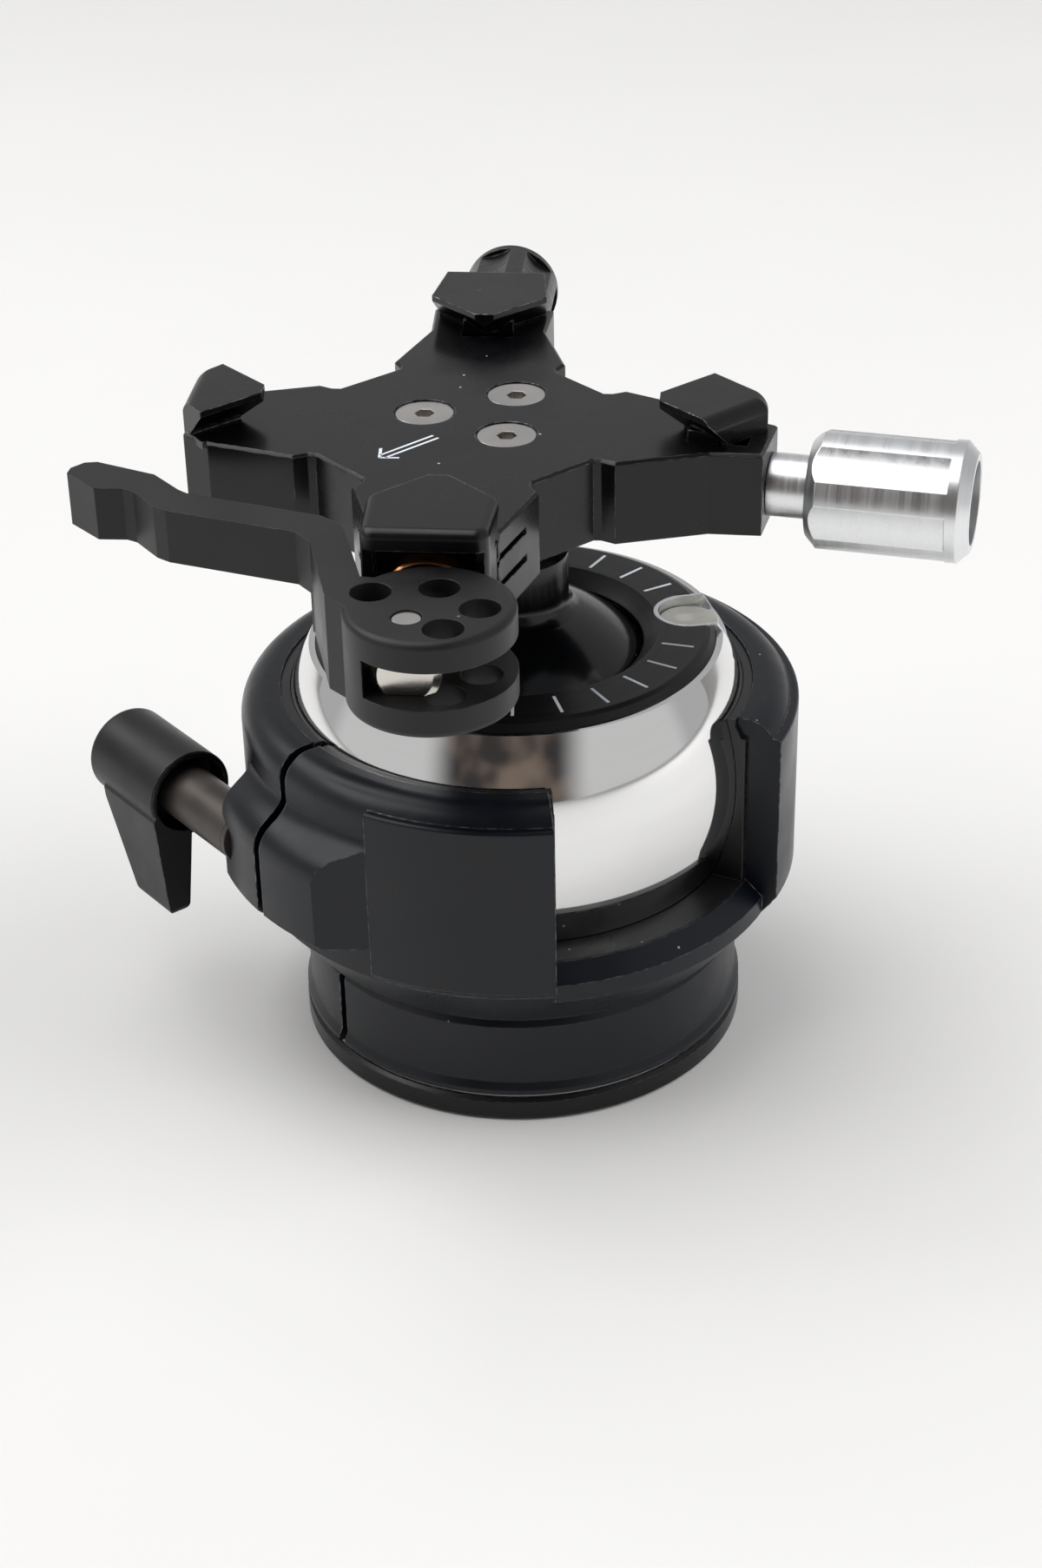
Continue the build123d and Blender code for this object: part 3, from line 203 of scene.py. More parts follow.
# ---------------------------------------------------------------- shader nodes
class Graph:
    """Adds and links nodes in one material or group."""

    def __init__(self, tree: bpy.types.NodeTree) -> None:
        """Keeps the tree that the nodes go into."""
        self.tree = tree

    def node(self, kind: str, inputs: dict | None = None, **settings: object) -> bpy.types.Node:
        """Adds a node.

        Args:
            kind: node type without its ShaderNode prefix.
            inputs: values or sockets for its inputs, by name or number.
            settings: properties of the node.

        Returns:
            The node.
        """
        made = self.tree.nodes.new("ShaderNode" + kind)
        for key, value in settings.items():
            setattr(made, key, value)
        for key, value in (inputs or {}).items():
            self.feed(made.inputs[key], value)
        return made

    def feed(self, socket: Socket, value: object) -> None:
        """Links a socket into another, or sets its value."""
        if isinstance(value, bpy.types.NodeSocket):
            self.tree.links.new(value, socket)
        else:
            socket.default_value = value

    def math(self, operation: str, first: object, second: object = 0.0, clamp: bool = False) -> Socket:
        """Adds a Math node.

        Args:
            operation: Blender's name for it.
            first: first value or socket.
            second: second value or socket.
            clamp: keeps the result between 0 and 1.

        Returns:
            The result's socket.
        """
        made = self.node("Math", {0: first, 1: second}, operation=operation, use_clamp=clamp)
        return made.outputs[0]

    def remap(self, value: object, low: float, high: float, to_low: float = 0.0,
              to_high: float = 1.0) -> Socket:
        """Smoothly maps a range of values to another one.

        Args:
            value: value or socket.
            low: start of its range.
            high: end of its range.
            to_low: what low becomes.
            to_high: what high becomes.

        Returns:
            The mapped value's socket.
        """
        inputs = {"Value": value, "From Min": low, "From Max": high, "To Min": to_low, "To Max": to_high}
        return self.node("MapRange", inputs, interpolation_type="SMOOTHSTEP").outputs["Result"]

    def blend(self, share: object, first: object, second: object) -> Socket:
        """Mixes two colours.

        Args:
            share: 0 gives the first, 1 the second.
            first: first colour or socket.
            second: second colour or socket.

        Returns:
            The mixed colour's socket.
        """
        made = self.node("Mix", data_type="RGBA")
        for name, value in (("Factor_Float", share), ("A_Color", first), ("B_Color", second)):
            socket = next(s for s in made.inputs if s.identifier == name)
            self.feed(socket, (*value, 1.0) if isinstance(value, tuple) and len(value) == 3 else value)
        return next(s for s in made.outputs if s.identifier == "Result_Color")

    def noise(self, vector: object, scale: object, detail: float = 2.0) -> Socket:
        """Adds a Noise Texture.

        Args:
            vector: where it is read.
            scale: how fine it is.
            detail: how many finer sizes are added.

        Returns:
            Its value's socket.
        """
        inputs = {"Vector": vector, "Scale": scale, "Detail": detail}
        return self.node("TexNoise", inputs).outputs[0]


class EffectLibrary:
    """Node groups that several materials share, each built once."""

    def __init__(self) -> None:
        """Starts with no group built."""
        self.built: dict[str, bpy.types.NodeTree] = {}

    def group(self, name: str) -> bpy.types.NodeTree:
        """The named effect's group, built the first time."""
        if name not in self.built:
            self.built[name] = getattr(self, "build_" + name)()
        return self.built[name]

    @staticmethod
    def shell(name: str, inputs: list[tuple[str, str, object]],
              outputs: list[tuple[str, str]]) -> tuple[Graph, bpy.types.Node, bpy.types.Node]:
        """An empty group with its sockets.

        Args:
            name: name of the group.
            inputs: name, socket kind and starting value of each input.
            outputs: name and socket kind of each output.

        Returns:
            The group's graph, its input node and its output node.
        """
        tree = bpy.data.node_groups.new(name, "ShaderNodeTree")
        for label, kind, value in inputs:
            socket = tree.interface.new_socket(label, in_out="INPUT", socket_type="NodeSocket" + kind)
            socket.default_value = value
        for label, kind in outputs:
            tree.interface.new_socket(label, in_out="OUTPUT", socket_type="NodeSocket" + kind)
        return Graph(tree), tree.nodes.new("NodeGroupInput"), tree.nodes.new("NodeGroupOutput")

    def build_edge_wear_and_highlight(self) -> bpy.types.NodeTree:
        """Where edges are rubbed, and painted pale as a highlight along them: the rounded normal differs from
        the face's, broken up by noise.
        """
        graph, given, result = self.shell(
            "edge_wear_and_highlight",
            [("Radius", "Float", 0.0002), ("Breakup", "Float", 900.0)],
            [("Mask", "Float"), ("Normal", "Vector")],
        )
        bevel = graph.node("Bevel", {"Radius": given.outputs["Radius"]}, samples=6)
        face = graph.node("NewGeometry").outputs["Normal"]
        turn = graph.node("VectorMath", {0: bevel.outputs[0], 1: face}, operation="DOT_PRODUCT")
        bend = graph.remap(graph.math("SUBTRACT", 1.0, turn.outputs["Value"]), 0.02, 0.22)
        place = graph.node("TexCoord").outputs["Object"]
        patch = graph.remap(graph.noise(place, given.outputs["Breakup"], 4.0), 0.38, 0.66)
        graph.feed(result.inputs["Mask"], graph.math("MULTIPLY", bend, patch))
        graph.feed(result.inputs["Normal"], bevel.outputs[0])
        return graph.tree

    def build_fine_grain(self) -> bpy.types.NodeTree:
        """Blasted or moulded grain: two sizes of noise, and slow patches for sheen."""
        graph, given, result = self.shell(
            "fine_grain",
            [("Vector", "Vector", (0, 0, 0)), ("Scale", "Float", 4000.0)],
            [("Height", "Float"), ("Patch", "Float")],
        )
        small = graph.noise(given.outputs["Vector"], given.outputs["Scale"], 2.0)
        medium_scale = graph.math("MULTIPLY", given.outputs["Scale"], 0.31)
        medium = graph.noise(given.outputs["Vector"], medium_scale, 1.0)
        graph.feed(result.inputs["Height"], graph.math("ADD", small, medium))
        patch_scale = graph.math("MULTIPLY", given.outputs["Scale"], 0.02)
        graph.feed(result.inputs["Patch"], graph.noise(given.outputs["Vector"], patch_scale, 4.0))
        return graph.tree

    def build_turning_marks(self) -> bpy.types.NodeTree:
        """Lathe marks about the vector's z axis: noise read along the distance from it and along it."""
        graph, given, result = self.shell(
            "turning_marks",
            [("Vector", "Vector", (0, 0, 0)), ("Density", "Float", 5000.0)],
            [("Height", "Float"), ("Patch", "Float")],
        )
        parts = graph.node("SeparateXYZ", {0: given.outputs["Vector"]})
        x, y, z = parts.outputs[0], parts.outputs[1], parts.outputs[2]
        square = graph.math("ADD", graph.math("MULTIPLY", x, x), graph.math("MULTIPLY", y, y))
        reach = graph.math("SQRT", square)
        slow_x = graph.math("MULTIPLY", x, 0.012)
        drift = graph.math("ADD", z, graph.math("MULTIPLY", y, 0.006))
        line = graph.node("CombineXYZ", {0: reach, 1: drift, 2: slow_x})
        fine = graph.noise(line.outputs[0], given.outputs["Density"], 3.0)
        wide = graph.noise(line.outputs[0], graph.math("MULTIPLY", given.outputs["Density"], 0.12), 2.0)
        graph.feed(result.inputs["Height"], fine)
        graph.feed(result.inputs["Patch"], graph.math("ADD", graph.math("MULTIPLY", fine, 0.5),
                                                      graph.math("MULTIPLY", wide, 0.5)))
        return graph.tree

    def build_dust(self) -> bpy.types.NodeTree:
        """Pale specks that have settled: small spots round scattered points, on faces that look up."""
        graph, given, result = self.shell(
            "dust",
            [("Vector", "Vector", (0, 0, 0)), ("Scale", "Float", 420.0)],
            [("Mask", "Float")],
        )
        place, scale = given.outputs["Vector"], given.outputs["Scale"]
        cells = graph.node("TexVoronoi", {"Vector": place, "Scale": scale})
        spot = graph.remap(cells.outputs["Distance"], 0.10, 0.04)
        chance = graph.node("SeparateColor", {0: cells.outputs["Color"]}).outputs[0]
        some = graph.math("GREATER_THAN", chance, 0.93)
        up = graph.node("SeparateXYZ", {0: graph.node("NewGeometry").outputs["Normal"]}).outputs[2]
        facing = graph.remap(up, 0.0, 0.7)
        graph.feed(result.inputs["Mask"], graph.math("MULTIPLY", graph.math("MULTIPLY", spot, some), facing))
        return graph.tree


EFFECTS = EffectLibrary()
DUST_COLOR = (0.55, 0.54, 0.52)


class Grain(Enum):
    """How a surface was made, which sets its small relief."""

    BLASTED = "blasted"
    TURNED = "turned"


@dataclass(frozen=True)
class Finish:
    """A solid finish: its colour, sheen, small relief, worn edges that are partly a painted highlight, and dust.
    """

    name: str
    color: Color
    roughness: float
    metallic: float = 0.0
    specular: float = 0.5
    tint: float = 0.25
    grain: Grain = Grain.BLASTED
    grain_scale: float = 5000.0
    relief: float = 0.000002
    rough_spread: float = 0.08
    axis: Seat = Seat((0.0, 0.0, 0.0))
    edge_radius: float = 0.00022
    wear_and_highlight: float = 0.0
    wear_and_highlight_color: Color = (0.6, 0.6, 0.6)
    dust: float = 0.0

    def material(self) -> bpy.types.Material:
        """The finish's material, built the first time it is asked for."""
        ready = bpy.data.materials.get(self.name)
        return ready if ready else self.build()

    def local_vector(self, graph: Graph) -> Socket:
        """Object coordinates seen from the finish's own axis, with z along it."""
        place = graph.node("TexCoord").outputs["Object"]
        z = Vector(self.axis.z).normalized()
        turn = z.rotation_difference(Vector((0, 0, 1))).to_euler()
        moved = graph.node("Mapping", {"Vector": place}, vector_type="POINT")
        moved.inputs["Location"].default_value = [-c * MM for c in self.axis.origin]
        turned = graph.node("Mapping", {"Vector": moved.outputs[0]}, vector_type="POINT")
        turned.inputs["Rotation"].default_value = turn
        return turned.outputs[0]

    def build(self) -> bpy.types.Material:
        """Builds the material's nodes.

        Returns:
            The new material.
        """
        material = bpy.data.materials.new(self.name)
        material.use_nodes = True
        material.node_tree.nodes.clear()
        graph = Graph(material.node_tree)
        vector = self.local_vector(graph)
        effect = "turning_marks" if self.grain is Grain.TURNED else "fine_grain"
        grain = graph.node("Group", node_tree=EFFECTS.group(effect))
        graph.feed(grain.inputs["Vector"], vector)
        graph.feed(grain.inputs[1], self.grain_scale)
        wear_and_highlight = None
        if self.edge_radius > 0:
            wear_and_highlight = graph.node("Group", node_tree=EFFECTS.group("edge_wear_and_highlight"))
            wear_and_highlight.inputs["Radius"].default_value = self.edge_radius
        patch = graph.remap(grain.outputs["Patch"], 0.3, 0.7)
        darker = tuple(c * (1 - self.tint) for c in self.color)
        lighter = tuple(min(1.0, c * (1 + self.tint)) for c in self.color)
        color = graph.blend(patch, darker, lighter)
        rough = graph.remap(grain.outputs["Patch"], 0.25, 0.75, self.roughness - self.rough_spread,
                            self.roughness + self.rough_spread)
        shader = graph.node("BsdfPrincipled", {
            "Metallic": self.metallic,
            "Specular IOR Level": self.specular,
        })
        # edges painted pale: partly rubbed metal, partly a painted highlight along the edges
        if wear_and_highlight and self.wear_and_highlight > 0:
            rubbed_and_highlit = graph.math("MULTIPLY", wear_and_highlight.outputs["Mask"], self.wear_and_highlight, clamp=True)
            color = graph.blend(rubbed_and_highlit, color, self.wear_and_highlight_color)
            metal = graph.remap(rubbed_and_highlit, 0.0, 1.0, self.metallic, 1.0)
            graph.feed(shader.inputs["Metallic"], metal)
        if self.dust > 0:
            specks = graph.node("Group", node_tree=EFFECTS.group("dust"))
            graph.feed(specks.inputs["Vector"], graph.node("TexCoord").outputs["Object"])
            share = graph.math("MULTIPLY", specks.outputs["Mask"], self.dust, clamp=True)
            color = graph.blend(share, color, DUST_COLOR)
        bump = graph.node("Bump", {
            "Height": grain.outputs["Height"],
            "Distance": self.relief,
            "Strength": 1.0,
        })
        if wear_and_highlight:
            graph.feed(bump.inputs["Normal"], wear_and_highlight.outputs["Normal"])
        graph.feed(shader.inputs["Base Color"], color)
        graph.feed(shader.inputs["Roughness"], rough)
        graph.feed(shader.inputs["Normal"], bump.outputs[0])
        result = graph.node("OutputMaterial", {"Surface": shader.outputs[0]})
        result.is_active_output = True
        return material


@dataclass(frozen=True)
class ClearFinish:
    """Clear plastic or liquid with a little colour of its own."""

    name: str
    color: Color
    roughness: float = 0.03

    def material(self) -> bpy.types.Material:
        """The finish's material, built the first time it is asked for."""
        ready = bpy.data.materials.get(self.name)
        if ready:
            return ready
        material = bpy.data.materials.new(self.name)
        material.use_nodes = True
        material.node_tree.nodes.clear()
        graph = Graph(material.node_tree)
        place = graph.node("TexCoord").outputs["Object"]
        cloud = graph.remap(graph.noise(place, 600.0, 3.0), 0.3, 0.7)
        color = graph.blend(cloud, tuple(c * 0.94 for c in self.color), self.color)
        rough = graph.remap(cloud, 0.0, 1.0, self.roughness, self.roughness + 0.03)
        shader = graph.node("BsdfPrincipled", {
            "Metallic": 0.0,
            "Transmission Weight": 0.5,
            "IOR": 1.46,
            "Base Color": color,
            "Roughness": rough,
        })
        graph.node("OutputMaterial", {"Surface": shader.outputs[0]})
        return material


def dress(finish: Finish | ClearFinish, *things: str | bpy.types.Object) -> None:
    """Gives a finish to CAD nodes or new pieces.

    Args:
        finish: the finish.
        things: node names, or pieces made here.
    """
    for thing in things:
        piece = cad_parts[thing] if isinstance(thing, str) else thing
        piece.data.materials.clear()
        piece.data.materials.append(finish.material())


# ---------------------------------------------------------------- finishes
DIAL_TOP = 60.3
VIAL_AZIMUTH = 15.0
VIAL_DISTANCE = 24.15
VIAL_TOP = 58.89
CLAMP_X = -5.6
CLAMP_Y = -5.9
PLATFORM_HEIGHT = 92.8
DRIVE_HEIGHT = 86.35
DRIVE_PIVOT = 25.0
RIGHT_SKEW = -10.0


def unit(azimuth: float) -> tuple[float, float, float]:
    """Level unit vector at an azimuth in degrees."""
    return (math.cos(math.radians(azimuth)), math.sin(math.radians(azimuth)), 0.0)


def right_drive(reach: float) -> Seat:
    """Seat on the right jaw's screw, with z outward along it."""
    dx, dy, _ = unit(RIGHT_SKEW)
    along = reach - DRIVE_PIVOT
    origin = (CLAMP_X + DRIVE_PIVOT + along * dx, CLAMP_Y + along * dy, DRIVE_HEIGHT)
    return Seat(origin, (-dy, dx, 0.0), (dx, dy, 0.0))


def back_drive(reach: float) -> Seat:
    """Seat on the back jaw's screw, with z outward along it."""
    return Seat((CLAMP_X, CLAMP_Y + reach, DRIVE_HEIGHT), (-1.0, 0.0, 0.0), (0.0, 1.0, 0.0))


FRONT_AXIS = Seat((CLAMP_X, CLAMP_Y, DRIVE_HEIGHT), (1.0, 0.0, 0.0), (0.0, -1.0, 0.0))
# pale edge colour: bare metal on rubbed edges, and also a painted highlight along the edges
WORN_AND_HIGHLIT_EDGE = (0.46, 0.47, 0.49)
HOUSING_FINISH = Finish("housing_anodised", (0.0020, 0.0034, 0.0064), 0.34, specular=0.36, wear_and_highlight=0.75,
                        wear_and_highlight_color=WORN_AND_HIGHLIT_EDGE, dust=0.6, edge_radius=0.00028)
FOOT_FINISH = Finish("foot_anodised", (0.0022, 0.0025, 0.0034), 0.27, specular=0.36, grain=Grain.TURNED,
                     grain_scale=9000.0, relief=0.0000005, wear_and_highlight=0.5, wear_and_highlight_color=WORN_AND_HIGHLIT_EDGE, dust=0.6)
# the clamp and jaws take wear 0.8, so their pale edges are partly a painted highlight
CLAMP_FINISH = Finish("clamp_anodised", (0.0022, 0.0022, 0.0028), 0.26, specular=0.38, wear_and_highlight=0.8,
                      wear_and_highlight_color=WORN_AND_HIGHLIT_EDGE, dust=0.9, edge_radius=0.00024)
JAW_FINISH = Finish("jaw_anodised", (0.0024, 0.0024, 0.0030), 0.30, specular=0.38, wear_and_highlight=0.8,
                    wear_and_highlight_color=WORN_AND_HIGHLIT_EDGE, dust=0.7, edge_radius=0.00026)
LEVER_FINISH = Finish("lever_hard_coat", (0.0105, 0.0105, 0.0108), 0.44, specular=0.36, wear_and_highlight=0.35,
                      wear_and_highlight_color=(0.30, 0.22, 0.16), dust=0.3, tint=0.3, edge_radius=0.00020)
LOCK_FINISH = Finish("lock_lever_anodised", (0.0028, 0.0031, 0.0040), 0.42, specular=0.40, wear_and_highlight=0.6,
                     wear_and_highlight_color=WORN_AND_HIGHLIT_EDGE, dust=0.6)
KNOB_BLACK = Finish("back_knob_anodised", (0.0028, 0.0030, 0.0038), 0.30, specular=0.40, wear_and_highlight=0.5,
                    wear_and_highlight_color=WORN_AND_HIGHLIT_EDGE, grain=Grain.TURNED, grain_scale=6000.0, relief=0.0000005,
                    axis=back_drive(0.0))
GLOSS_FINISH = Finish("polished_black", (0.0020, 0.0024, 0.0032), 0.17, specular=0.5, rough_spread=0.03,
                      relief=0.0000002, dust=0.4, grain=Grain.TURNED, grain_scale=4000.0, edge_radius=0.0)
DIAL_FINISH = Finish("dial_black", (0.0040, 0.0040, 0.0044), 0.36, specular=0.36, grain=Grain.TURNED,
                     grain_scale=6000.0, relief=0.0000006, wear_and_highlight=0.4, wear_and_highlight_color=WORN_AND_HIGHLIT_EDGE, dust=0.6,
                     edge_radius=0.00020)
MIRROR_FINISH = Finish("mirror_polish", (0.80, 0.80, 0.795), 0.055, metallic=1.0, tint=0.01,
                       rough_spread=0.015, grain=Grain.TURNED, grain_scale=2500.0, relief=0.00000001,
                       edge_radius=0.0)
BRIGHT_FINISH = Finish("bright_aluminium", (0.80, 0.81, 0.82), 0.22, metallic=1.0, tint=0.04,
                       grain=Grain.TURNED, grain_scale=7000.0, relief=0.0000005)
KNOB_BRIGHT = Finish("right_knob_aluminium", (0.82, 0.83, 0.84), 0.33, metallic=1.0, tint=0.05,
                     grain=Grain.TURNED, grain_scale=6000.0, relief=0.0000004, axis=right_drive(0.0))
ROD_FINISH = Finish("rod_nickel", (0.72, 0.69, 0.64), 0.24, metallic=1.0, tint=0.10, grain=Grain.TURNED,
                    grain_scale=4500.0, relief=0.0000010, axis=FRONT_AXIS)
STEEL_FINISH = Finish("stainless_satin", (0.62, 0.60, 0.57), 0.26, metallic=1.0, tint=0.08, relief=0.0000006)
DARK_STEEL_FINISH = Finish("oiled_steel", (0.060, 0.052, 0.046), 0.36, metallic=0.6, tint=0.3,
                           relief=0.0000010)
SPRING_FINISH = Finish("spring_strip", (0.45, 0.45, 0.46), 0.3, metallic=1.0, relief=0.0000006)
COPPER_FINISH = Finish("copper_turned", (0.80, 0.36, 0.15), 0.24, metallic=1.0, tint=0.12, relief=0.0000008,
                       grain=Grain.TURNED, axis=FRONT_AXIS, wear_and_highlight=0.6, wear_and_highlight_color=(0.98, 0.70, 0.50))
PALE_PLASTIC = Finish("pale_slide_plastic", (0.66, 0.65, 0.61), 0.45, relief=0.000002)
LINER_PLASTIC = Finish("liner_plastic", (0.0095, 0.0090, 0.0090), 0.32, relief=0.000002, dust=0.5)
WHITE_FILL = Finish("white_fill", (0.62, 0.66, 0.70), 0.5, relief=0.0000005, edge_radius=0.00002)
VIAL_FINISH = ClearFinish("clear_vial", (0.88, 0.88, 0.78))
BUBBLE_FINISH = ClearFinish("bubble", (0.95, 0.97, 0.93))


# ---------------------------------------------------------------- sub-assemblies
@dataclass
class Foot:
    """The foot that stands on the tripod, with its insert, hub and glide."""

    def build(self) -> None:
        """Dresses the foot's pieces."""
        dress(FOOT_FINISH, "base_disc")
        dress(STEEL_FINISH, "thread_bush")
        dress(BRIGHT_FINISH, "pan_hub")
        dress(DARK_STEEL_FINISH, "base_screws")
        dress(PALE_PLASTIC, "pan_glide")


@dataclass
class HousingShell:
    """The split housing with its liner, lower seat and lock lever."""

    def build(self) -> None:
        """Dresses the housing and the lock."""
        dress(HOUSING_FINISH, "housing")
        dress(LINER_PLASTIC, "liner")
        dress(SPRING_FINISH, "seat_spring")
        dress(DARK_STEEL_FINISH, "lock_washer")
        dress(PALE_PLASTIC, "ball_seat")
        dress(DARK_STEEL_FINISH, "lock_screw", "lever_grub_screw")
        dress(LOCK_FINISH, "lock_lever")


@dataclass
class BallPair:
    """The big polished ball with its dial and bubble, and the small black ball inside it."""

    tick_start: float = -10.5
    tick_step: float = 15.0
    tick_inner: float = 20.5
    tick_outer: float = 24.9
    tick_width: float = 0.42
    tick_clear: float = 14.0
    bubble_radius: float = 1.35
    bubble_height: float = 0.22
    bubble_depth: float = 0.04
    bubble_segments: int = 64
    bubble_shift: tuple[float, float] = (-0.6, 0.7)     # from the vial's middle

    def build(self) -> None:
        """Builds the dial's marks and dresses both balls."""
        self.build_ticks()
        self.build_vial_marks()
        dress(MIRROR_FINISH, "outer_ball")
        dress(DIAL_FINISH, "scale_ring")
        dress(BRIGHT_FINISH, "vial_cup", "ball_retainer")
        dress(VIAL_FINISH, "bubble_vial")
        dress(PALE_PLASTIC, "inner_seat")
        dress(GLOSS_FINISH, "inner_ball")

    def build_ticks(self) -> None:
        """Plain strokes along the dial's radii, left out where the vial's cup cuts the dial."""
        strokes = []
        for number in range(int(360 / self.tick_step)):
            azimuth = self.tick_start + number * self.tick_step
            if abs((azimuth - VIAL_AZIMUTH + 180) % 360 - 180) > self.tick_clear:
                outward = np.array(unit(azimuth)[:2])
                strokes.append(slab(outward * self.tick_inner, outward * self.tick_outer, self.tick_width))
        points, faces = joined(strokes)
        seat = Seat((0.0, 0.0, DIAL_TOP))
        dress(WHITE_FILL, make_piece("dial_ticks", points, faces, seat, "ball"))

    def build_vial_marks(self) -> None:
        """The vial's bubble, a flattened ball: r is its radius times sine, h its height times cosine."""
        outline = arc(1.0, 0, 180, 25) * np.array([self.bubble_radius, self.bubble_height])
        points, faces = revolve(outline, self.bubble_segments)
        x, y, _ = unit(VIAL_AZIMUTH)
        height = VIAL_TOP - self.bubble_height - self.bubble_depth
        shift_x, shift_y = self.bubble_shift
        seat = Seat((VIAL_DISTANCE * x + shift_x, VIAL_DISTANCE * y + shift_y, height))
        dress(BUBBLE_FINISH, make_piece("vial_bubble", points, faces, seat, "ball"))


@dataclass
class ClampHead:
    """The clamp with its screws, jaws, knobs and cam lever."""

    arrow_tail: tuple[float, float] = (-8.6, -10.55)
    arrow_tip: tuple[float, float] = (-14.9, -17.35)
    arrow_barbs: tuple[tuple[float, float], ...] = ((-15.12, -14.5), (-12.4, -17.3))
    line_width: float = 0.34
    line_spread: float = 0.52
    barb_widening: float = 1.2         # a barb's width over a line's

    def build(self) -> None:
        """Builds the arrow and dresses the clamp's pieces."""
        self.build_arrow()
        dress(CLAMP_FINISH, "clamp_body")
        dress(STEEL_FINISH, "clamp_screws", "guide_pins", "cam_pin")
        dress(ROD_FINISH, "pull_rod")
        dress(STEEL_FINISH, "right_screw", "back_screw")
        dress(SPRING_FINISH, "right_clip", "back_clip")
        dress(JAW_FINISH, "right_jaw", "back_jaw", "front_jaw")
        dress(KNOB_BRIGHT, "right_knob")
        dress(KNOB_BLACK, "back_knob")
        dress(COPPER_FINISH, "thrust_plate")
        dress(LEVER_FINISH, "cam_lever")

    def build_arrow(self) -> None:
        """A bare arrow on the platform: two lines side by side and two short barbs from its tip."""
        tail, tip = np.array(self.arrow_tail), np.array(self.arrow_tip)
        along = (tip - tail) / np.linalg.norm(tip - tail)
        side = np.array([-along[1], along[0]]) * self.line_spread
        ends = [(tail + way * side, tip + way * side - self.line_spread * along) for way in (-1, 1)]
        strokes = [slab(start, end, self.line_width) for start, end in ends]
        barb_width = self.line_width * self.barb_widening
        strokes += [slab(tip, np.array(barb), barb_width) for barb in self.arrow_barbs]
        points, faces = joined(strokes)
        seat = Seat((0.0, 0.0, PLATFORM_HEIGHT))
        dress(WHITE_FILL, make_piece("platform_arrow", points, faces, seat, "head"))


# ---------------------------------------------------------------- studio
@dataclass(frozen=True)
class Lamp:
    """A square lamp: its place and side in metres, its power in watts, and if polished faces show it."""

    name: str
    place: tuple[float, float, float]
    size: float
    power: float
    mirrored: bool = True


LAMPS = (
    Lamp("key_light", (-0.50, 0.02, 0.95), 1.1, 10.0),
    Lamp("side_light", (0.80, 0.0, 0.60), 0.8, 5.6, mirrored=False),
)


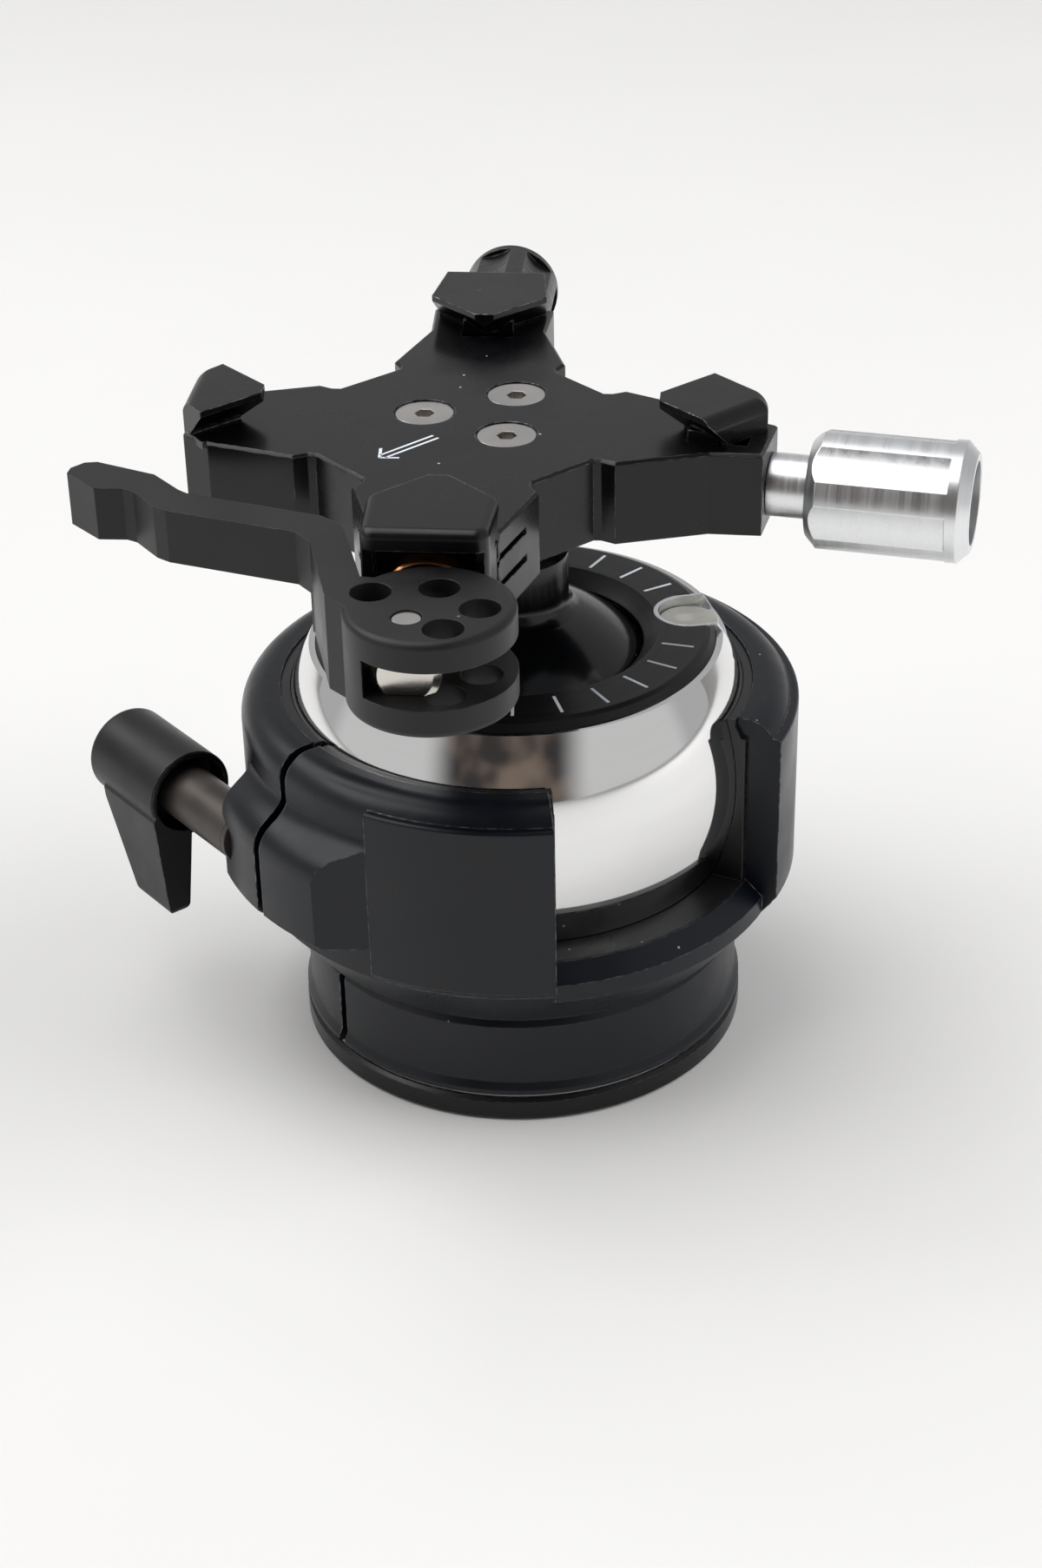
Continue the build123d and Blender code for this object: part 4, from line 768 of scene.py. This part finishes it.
@dataclass
class Studio:
    """Pale floor that sweeps up behind, the world and lamps round it, and the camera."""

    camera_place: tuple[float, float, float] = (0.03607, -0.34048, 0.23876)
    forward: tuple[float, float, float] = (-0.08986, 0.85492, -0.51092)
    roll: float = -0.0218275
    lens: float = 43.24
    floor_color: Color = (0.80, 0.795, 0.785)
    sweep_start: float = 0.80
    sweep_radius: float = 0.20
    wall_top: float = 0.26
    floor_front: float = -1.6
    floor_side: float = 2.0
    paper_roughness: float = 0.75
    paper_specular: float = 0.2
    lamp_aim: tuple[float, float, float] = (0.0, 0.0, 0.05)
    front_color: Color = (0.045, 0.040, 0.040)
    warm_color: Color = (0.20, 0.155, 0.125)
    side_color: Color = (0.62, 0.62, 0.62)
    back_color: Color = (0.46, 0.46, 0.47)
    roof_color: Color = (0.22, 0.225, 0.24)

    def build(self) -> None:
        """Makes the floor, lights and camera."""
        self.build_floor()
        self.build_world()
        self.build_lamps()
        self.build_camera()

    def build_floor(self) -> None:
        """Floor swept upward: flat in x and y, then z follows a quarter circle, then a straight wall."""
        flat = np.stack([np.linspace(self.floor_front, self.sweep_start, 40), np.zeros(40)], axis=1)
        curve = arc(self.sweep_radius, 180, 90, 24, self.sweep_radius)
        curve[:, 0] += self.sweep_start
        wall_height = np.linspace(self.sweep_radius, self.wall_top, 12)
        wall = np.stack([np.full(12, self.sweep_start + self.sweep_radius), wall_height], axis=1)
        section = np.concatenate([flat, curve[1:], wall[1:]])
        x = np.linspace(-self.floor_side, self.floor_side, 41)
        shape = (len(section), len(x))
        points = np.stack([
            np.broadcast_to(x, shape),
            np.broadcast_to(section[:, :1], shape),
            np.broadcast_to(section[:, 1:], shape),
        ], axis=-1).reshape(-1, 3)
        row = np.arange(shape[0] - 1)[:, None]
        column = np.arange(shape[1] - 1)[None, :]
        first = row * shape[1] + column
        faces = np.stack([first, first + 1, first + shape[1] + 1, first + shape[1]], axis=-1)
        mesh = bpy.data.meshes.new("floor")
        mesh.from_pydata(points.tolist(), [], faces.reshape(-1, 4).tolist())
        mesh.shade_smooth()
        floor = bpy.data.objects.new("floor", mesh)
        bpy.context.scene.collection.objects.link(floor)
        material = bpy.data.materials.new("floor_paper")
        material.use_nodes = True
        graph = Graph(material.node_tree)
        shader = material.node_tree.nodes["Principled BSDF"]
        place = graph.node("TexCoord").outputs["Object"]
        patch = graph.remap(graph.noise(place, 9.0, 4.0), 0.3, 0.7)
        darker = tuple(c * 0.985 for c in self.floor_color)
        color = graph.blend(patch, darker, self.floor_color)
        graph.feed(shader.inputs["Base Color"], color)
        shader.inputs["Roughness"].default_value = self.paper_roughness
        shader.inputs["Specular IOR Level"].default_value = self.paper_specular
        mesh.materials.append(material)

    def build_world(self) -> None:
        """World that is grey behind, pale at the sides, and dark in front and overhead.

        The dark is a room with a few warm shapes in it, which the polished ball mirrors.
        """
        world = bpy.data.worlds.new("room")
        bpy.context.scene.world = world
        world.use_nodes = True
        world.node_tree.nodes.clear()
        graph = Graph(world.node_tree)
        place = graph.node("TexCoord").outputs["Generated"]
        direction = graph.node("SeparateXYZ", {0: place})
        side, depth, height = direction.outputs[0], direction.outputs[1], direction.outputs[2]
        shapes = graph.remap(graph.noise(place, 3.2, 1.5), 0.40, 0.72)
        room = graph.blend(shapes, self.front_color, self.warm_color)
        aside = graph.remap(graph.math("ABSOLUTE", side), 0.38, 0.66)
        front = graph.blend(aside, room, self.side_color)
        overhead = graph.remap(height, 0.72, 0.86)
        upper = graph.blend(overhead, front, self.roof_color)
        behind = graph.remap(depth, -0.06, 0.14)
        color = graph.blend(behind, upper, self.back_color)
        background = graph.node("Background", {"Color": color, "Strength": 1.0})
        graph.node("OutputWorld", {"Surface": background.outputs[0]})

    def build_lamps(self) -> None:
        """Square lamps that face the object."""
        for lamp in LAMPS:
            data = bpy.data.lights.new(lamp.name, "AREA")
            data.energy = lamp.power
            data.size = lamp.size
            made = bpy.data.objects.new(lamp.name, data)
            made.location = lamp.place
            made.visible_glossy = lamp.mirrored
            aim = Vector(self.lamp_aim) - Vector(lamp.place)
            made.rotation_euler = aim.to_track_quat("-Z", "Y").to_euler()
            bpy.context.scene.collection.objects.link(made)

    def build_camera(self) -> None:
        """Camera that looks down at the head from the front."""
        forward = Vector(self.forward).normalized()
        level = forward.cross(Vector((0, 0, 1))).normalized()
        upright = level.cross(forward)
        cos, sin = math.cos(self.roll), math.sin(self.roll)
        right = level * cos + upright * sin
        up = upright * cos - level * sin
        turn = Matrix((right, up, -forward)).transposed().to_4x4()
        data = bpy.data.cameras.new("camera")
        data.sensor_fit = "VERTICAL"
        data.sensor_height = 24.0
        data.lens = self.lens
        data.clip_start = 0.01
        camera = bpy.data.objects.new("camera", data)
        camera.matrix_world = Matrix.Translation(self.camera_place) @ turn
        bpy.context.scene.collection.objects.link(camera)
        bpy.context.scene.camera = camera


def main() -> None:
    """Builds every sub-assembly in order."""
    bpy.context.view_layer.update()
    for assembly in (Foot(), HousingShell(), BallPair(), ClampHead(), Studio()):
        assembly.build()
        log.info("built %s", type(assembly).__name__)
    bpy.context.scene.view_settings.view_transform = "Standard"


if __name__ == "__main__":
    main()
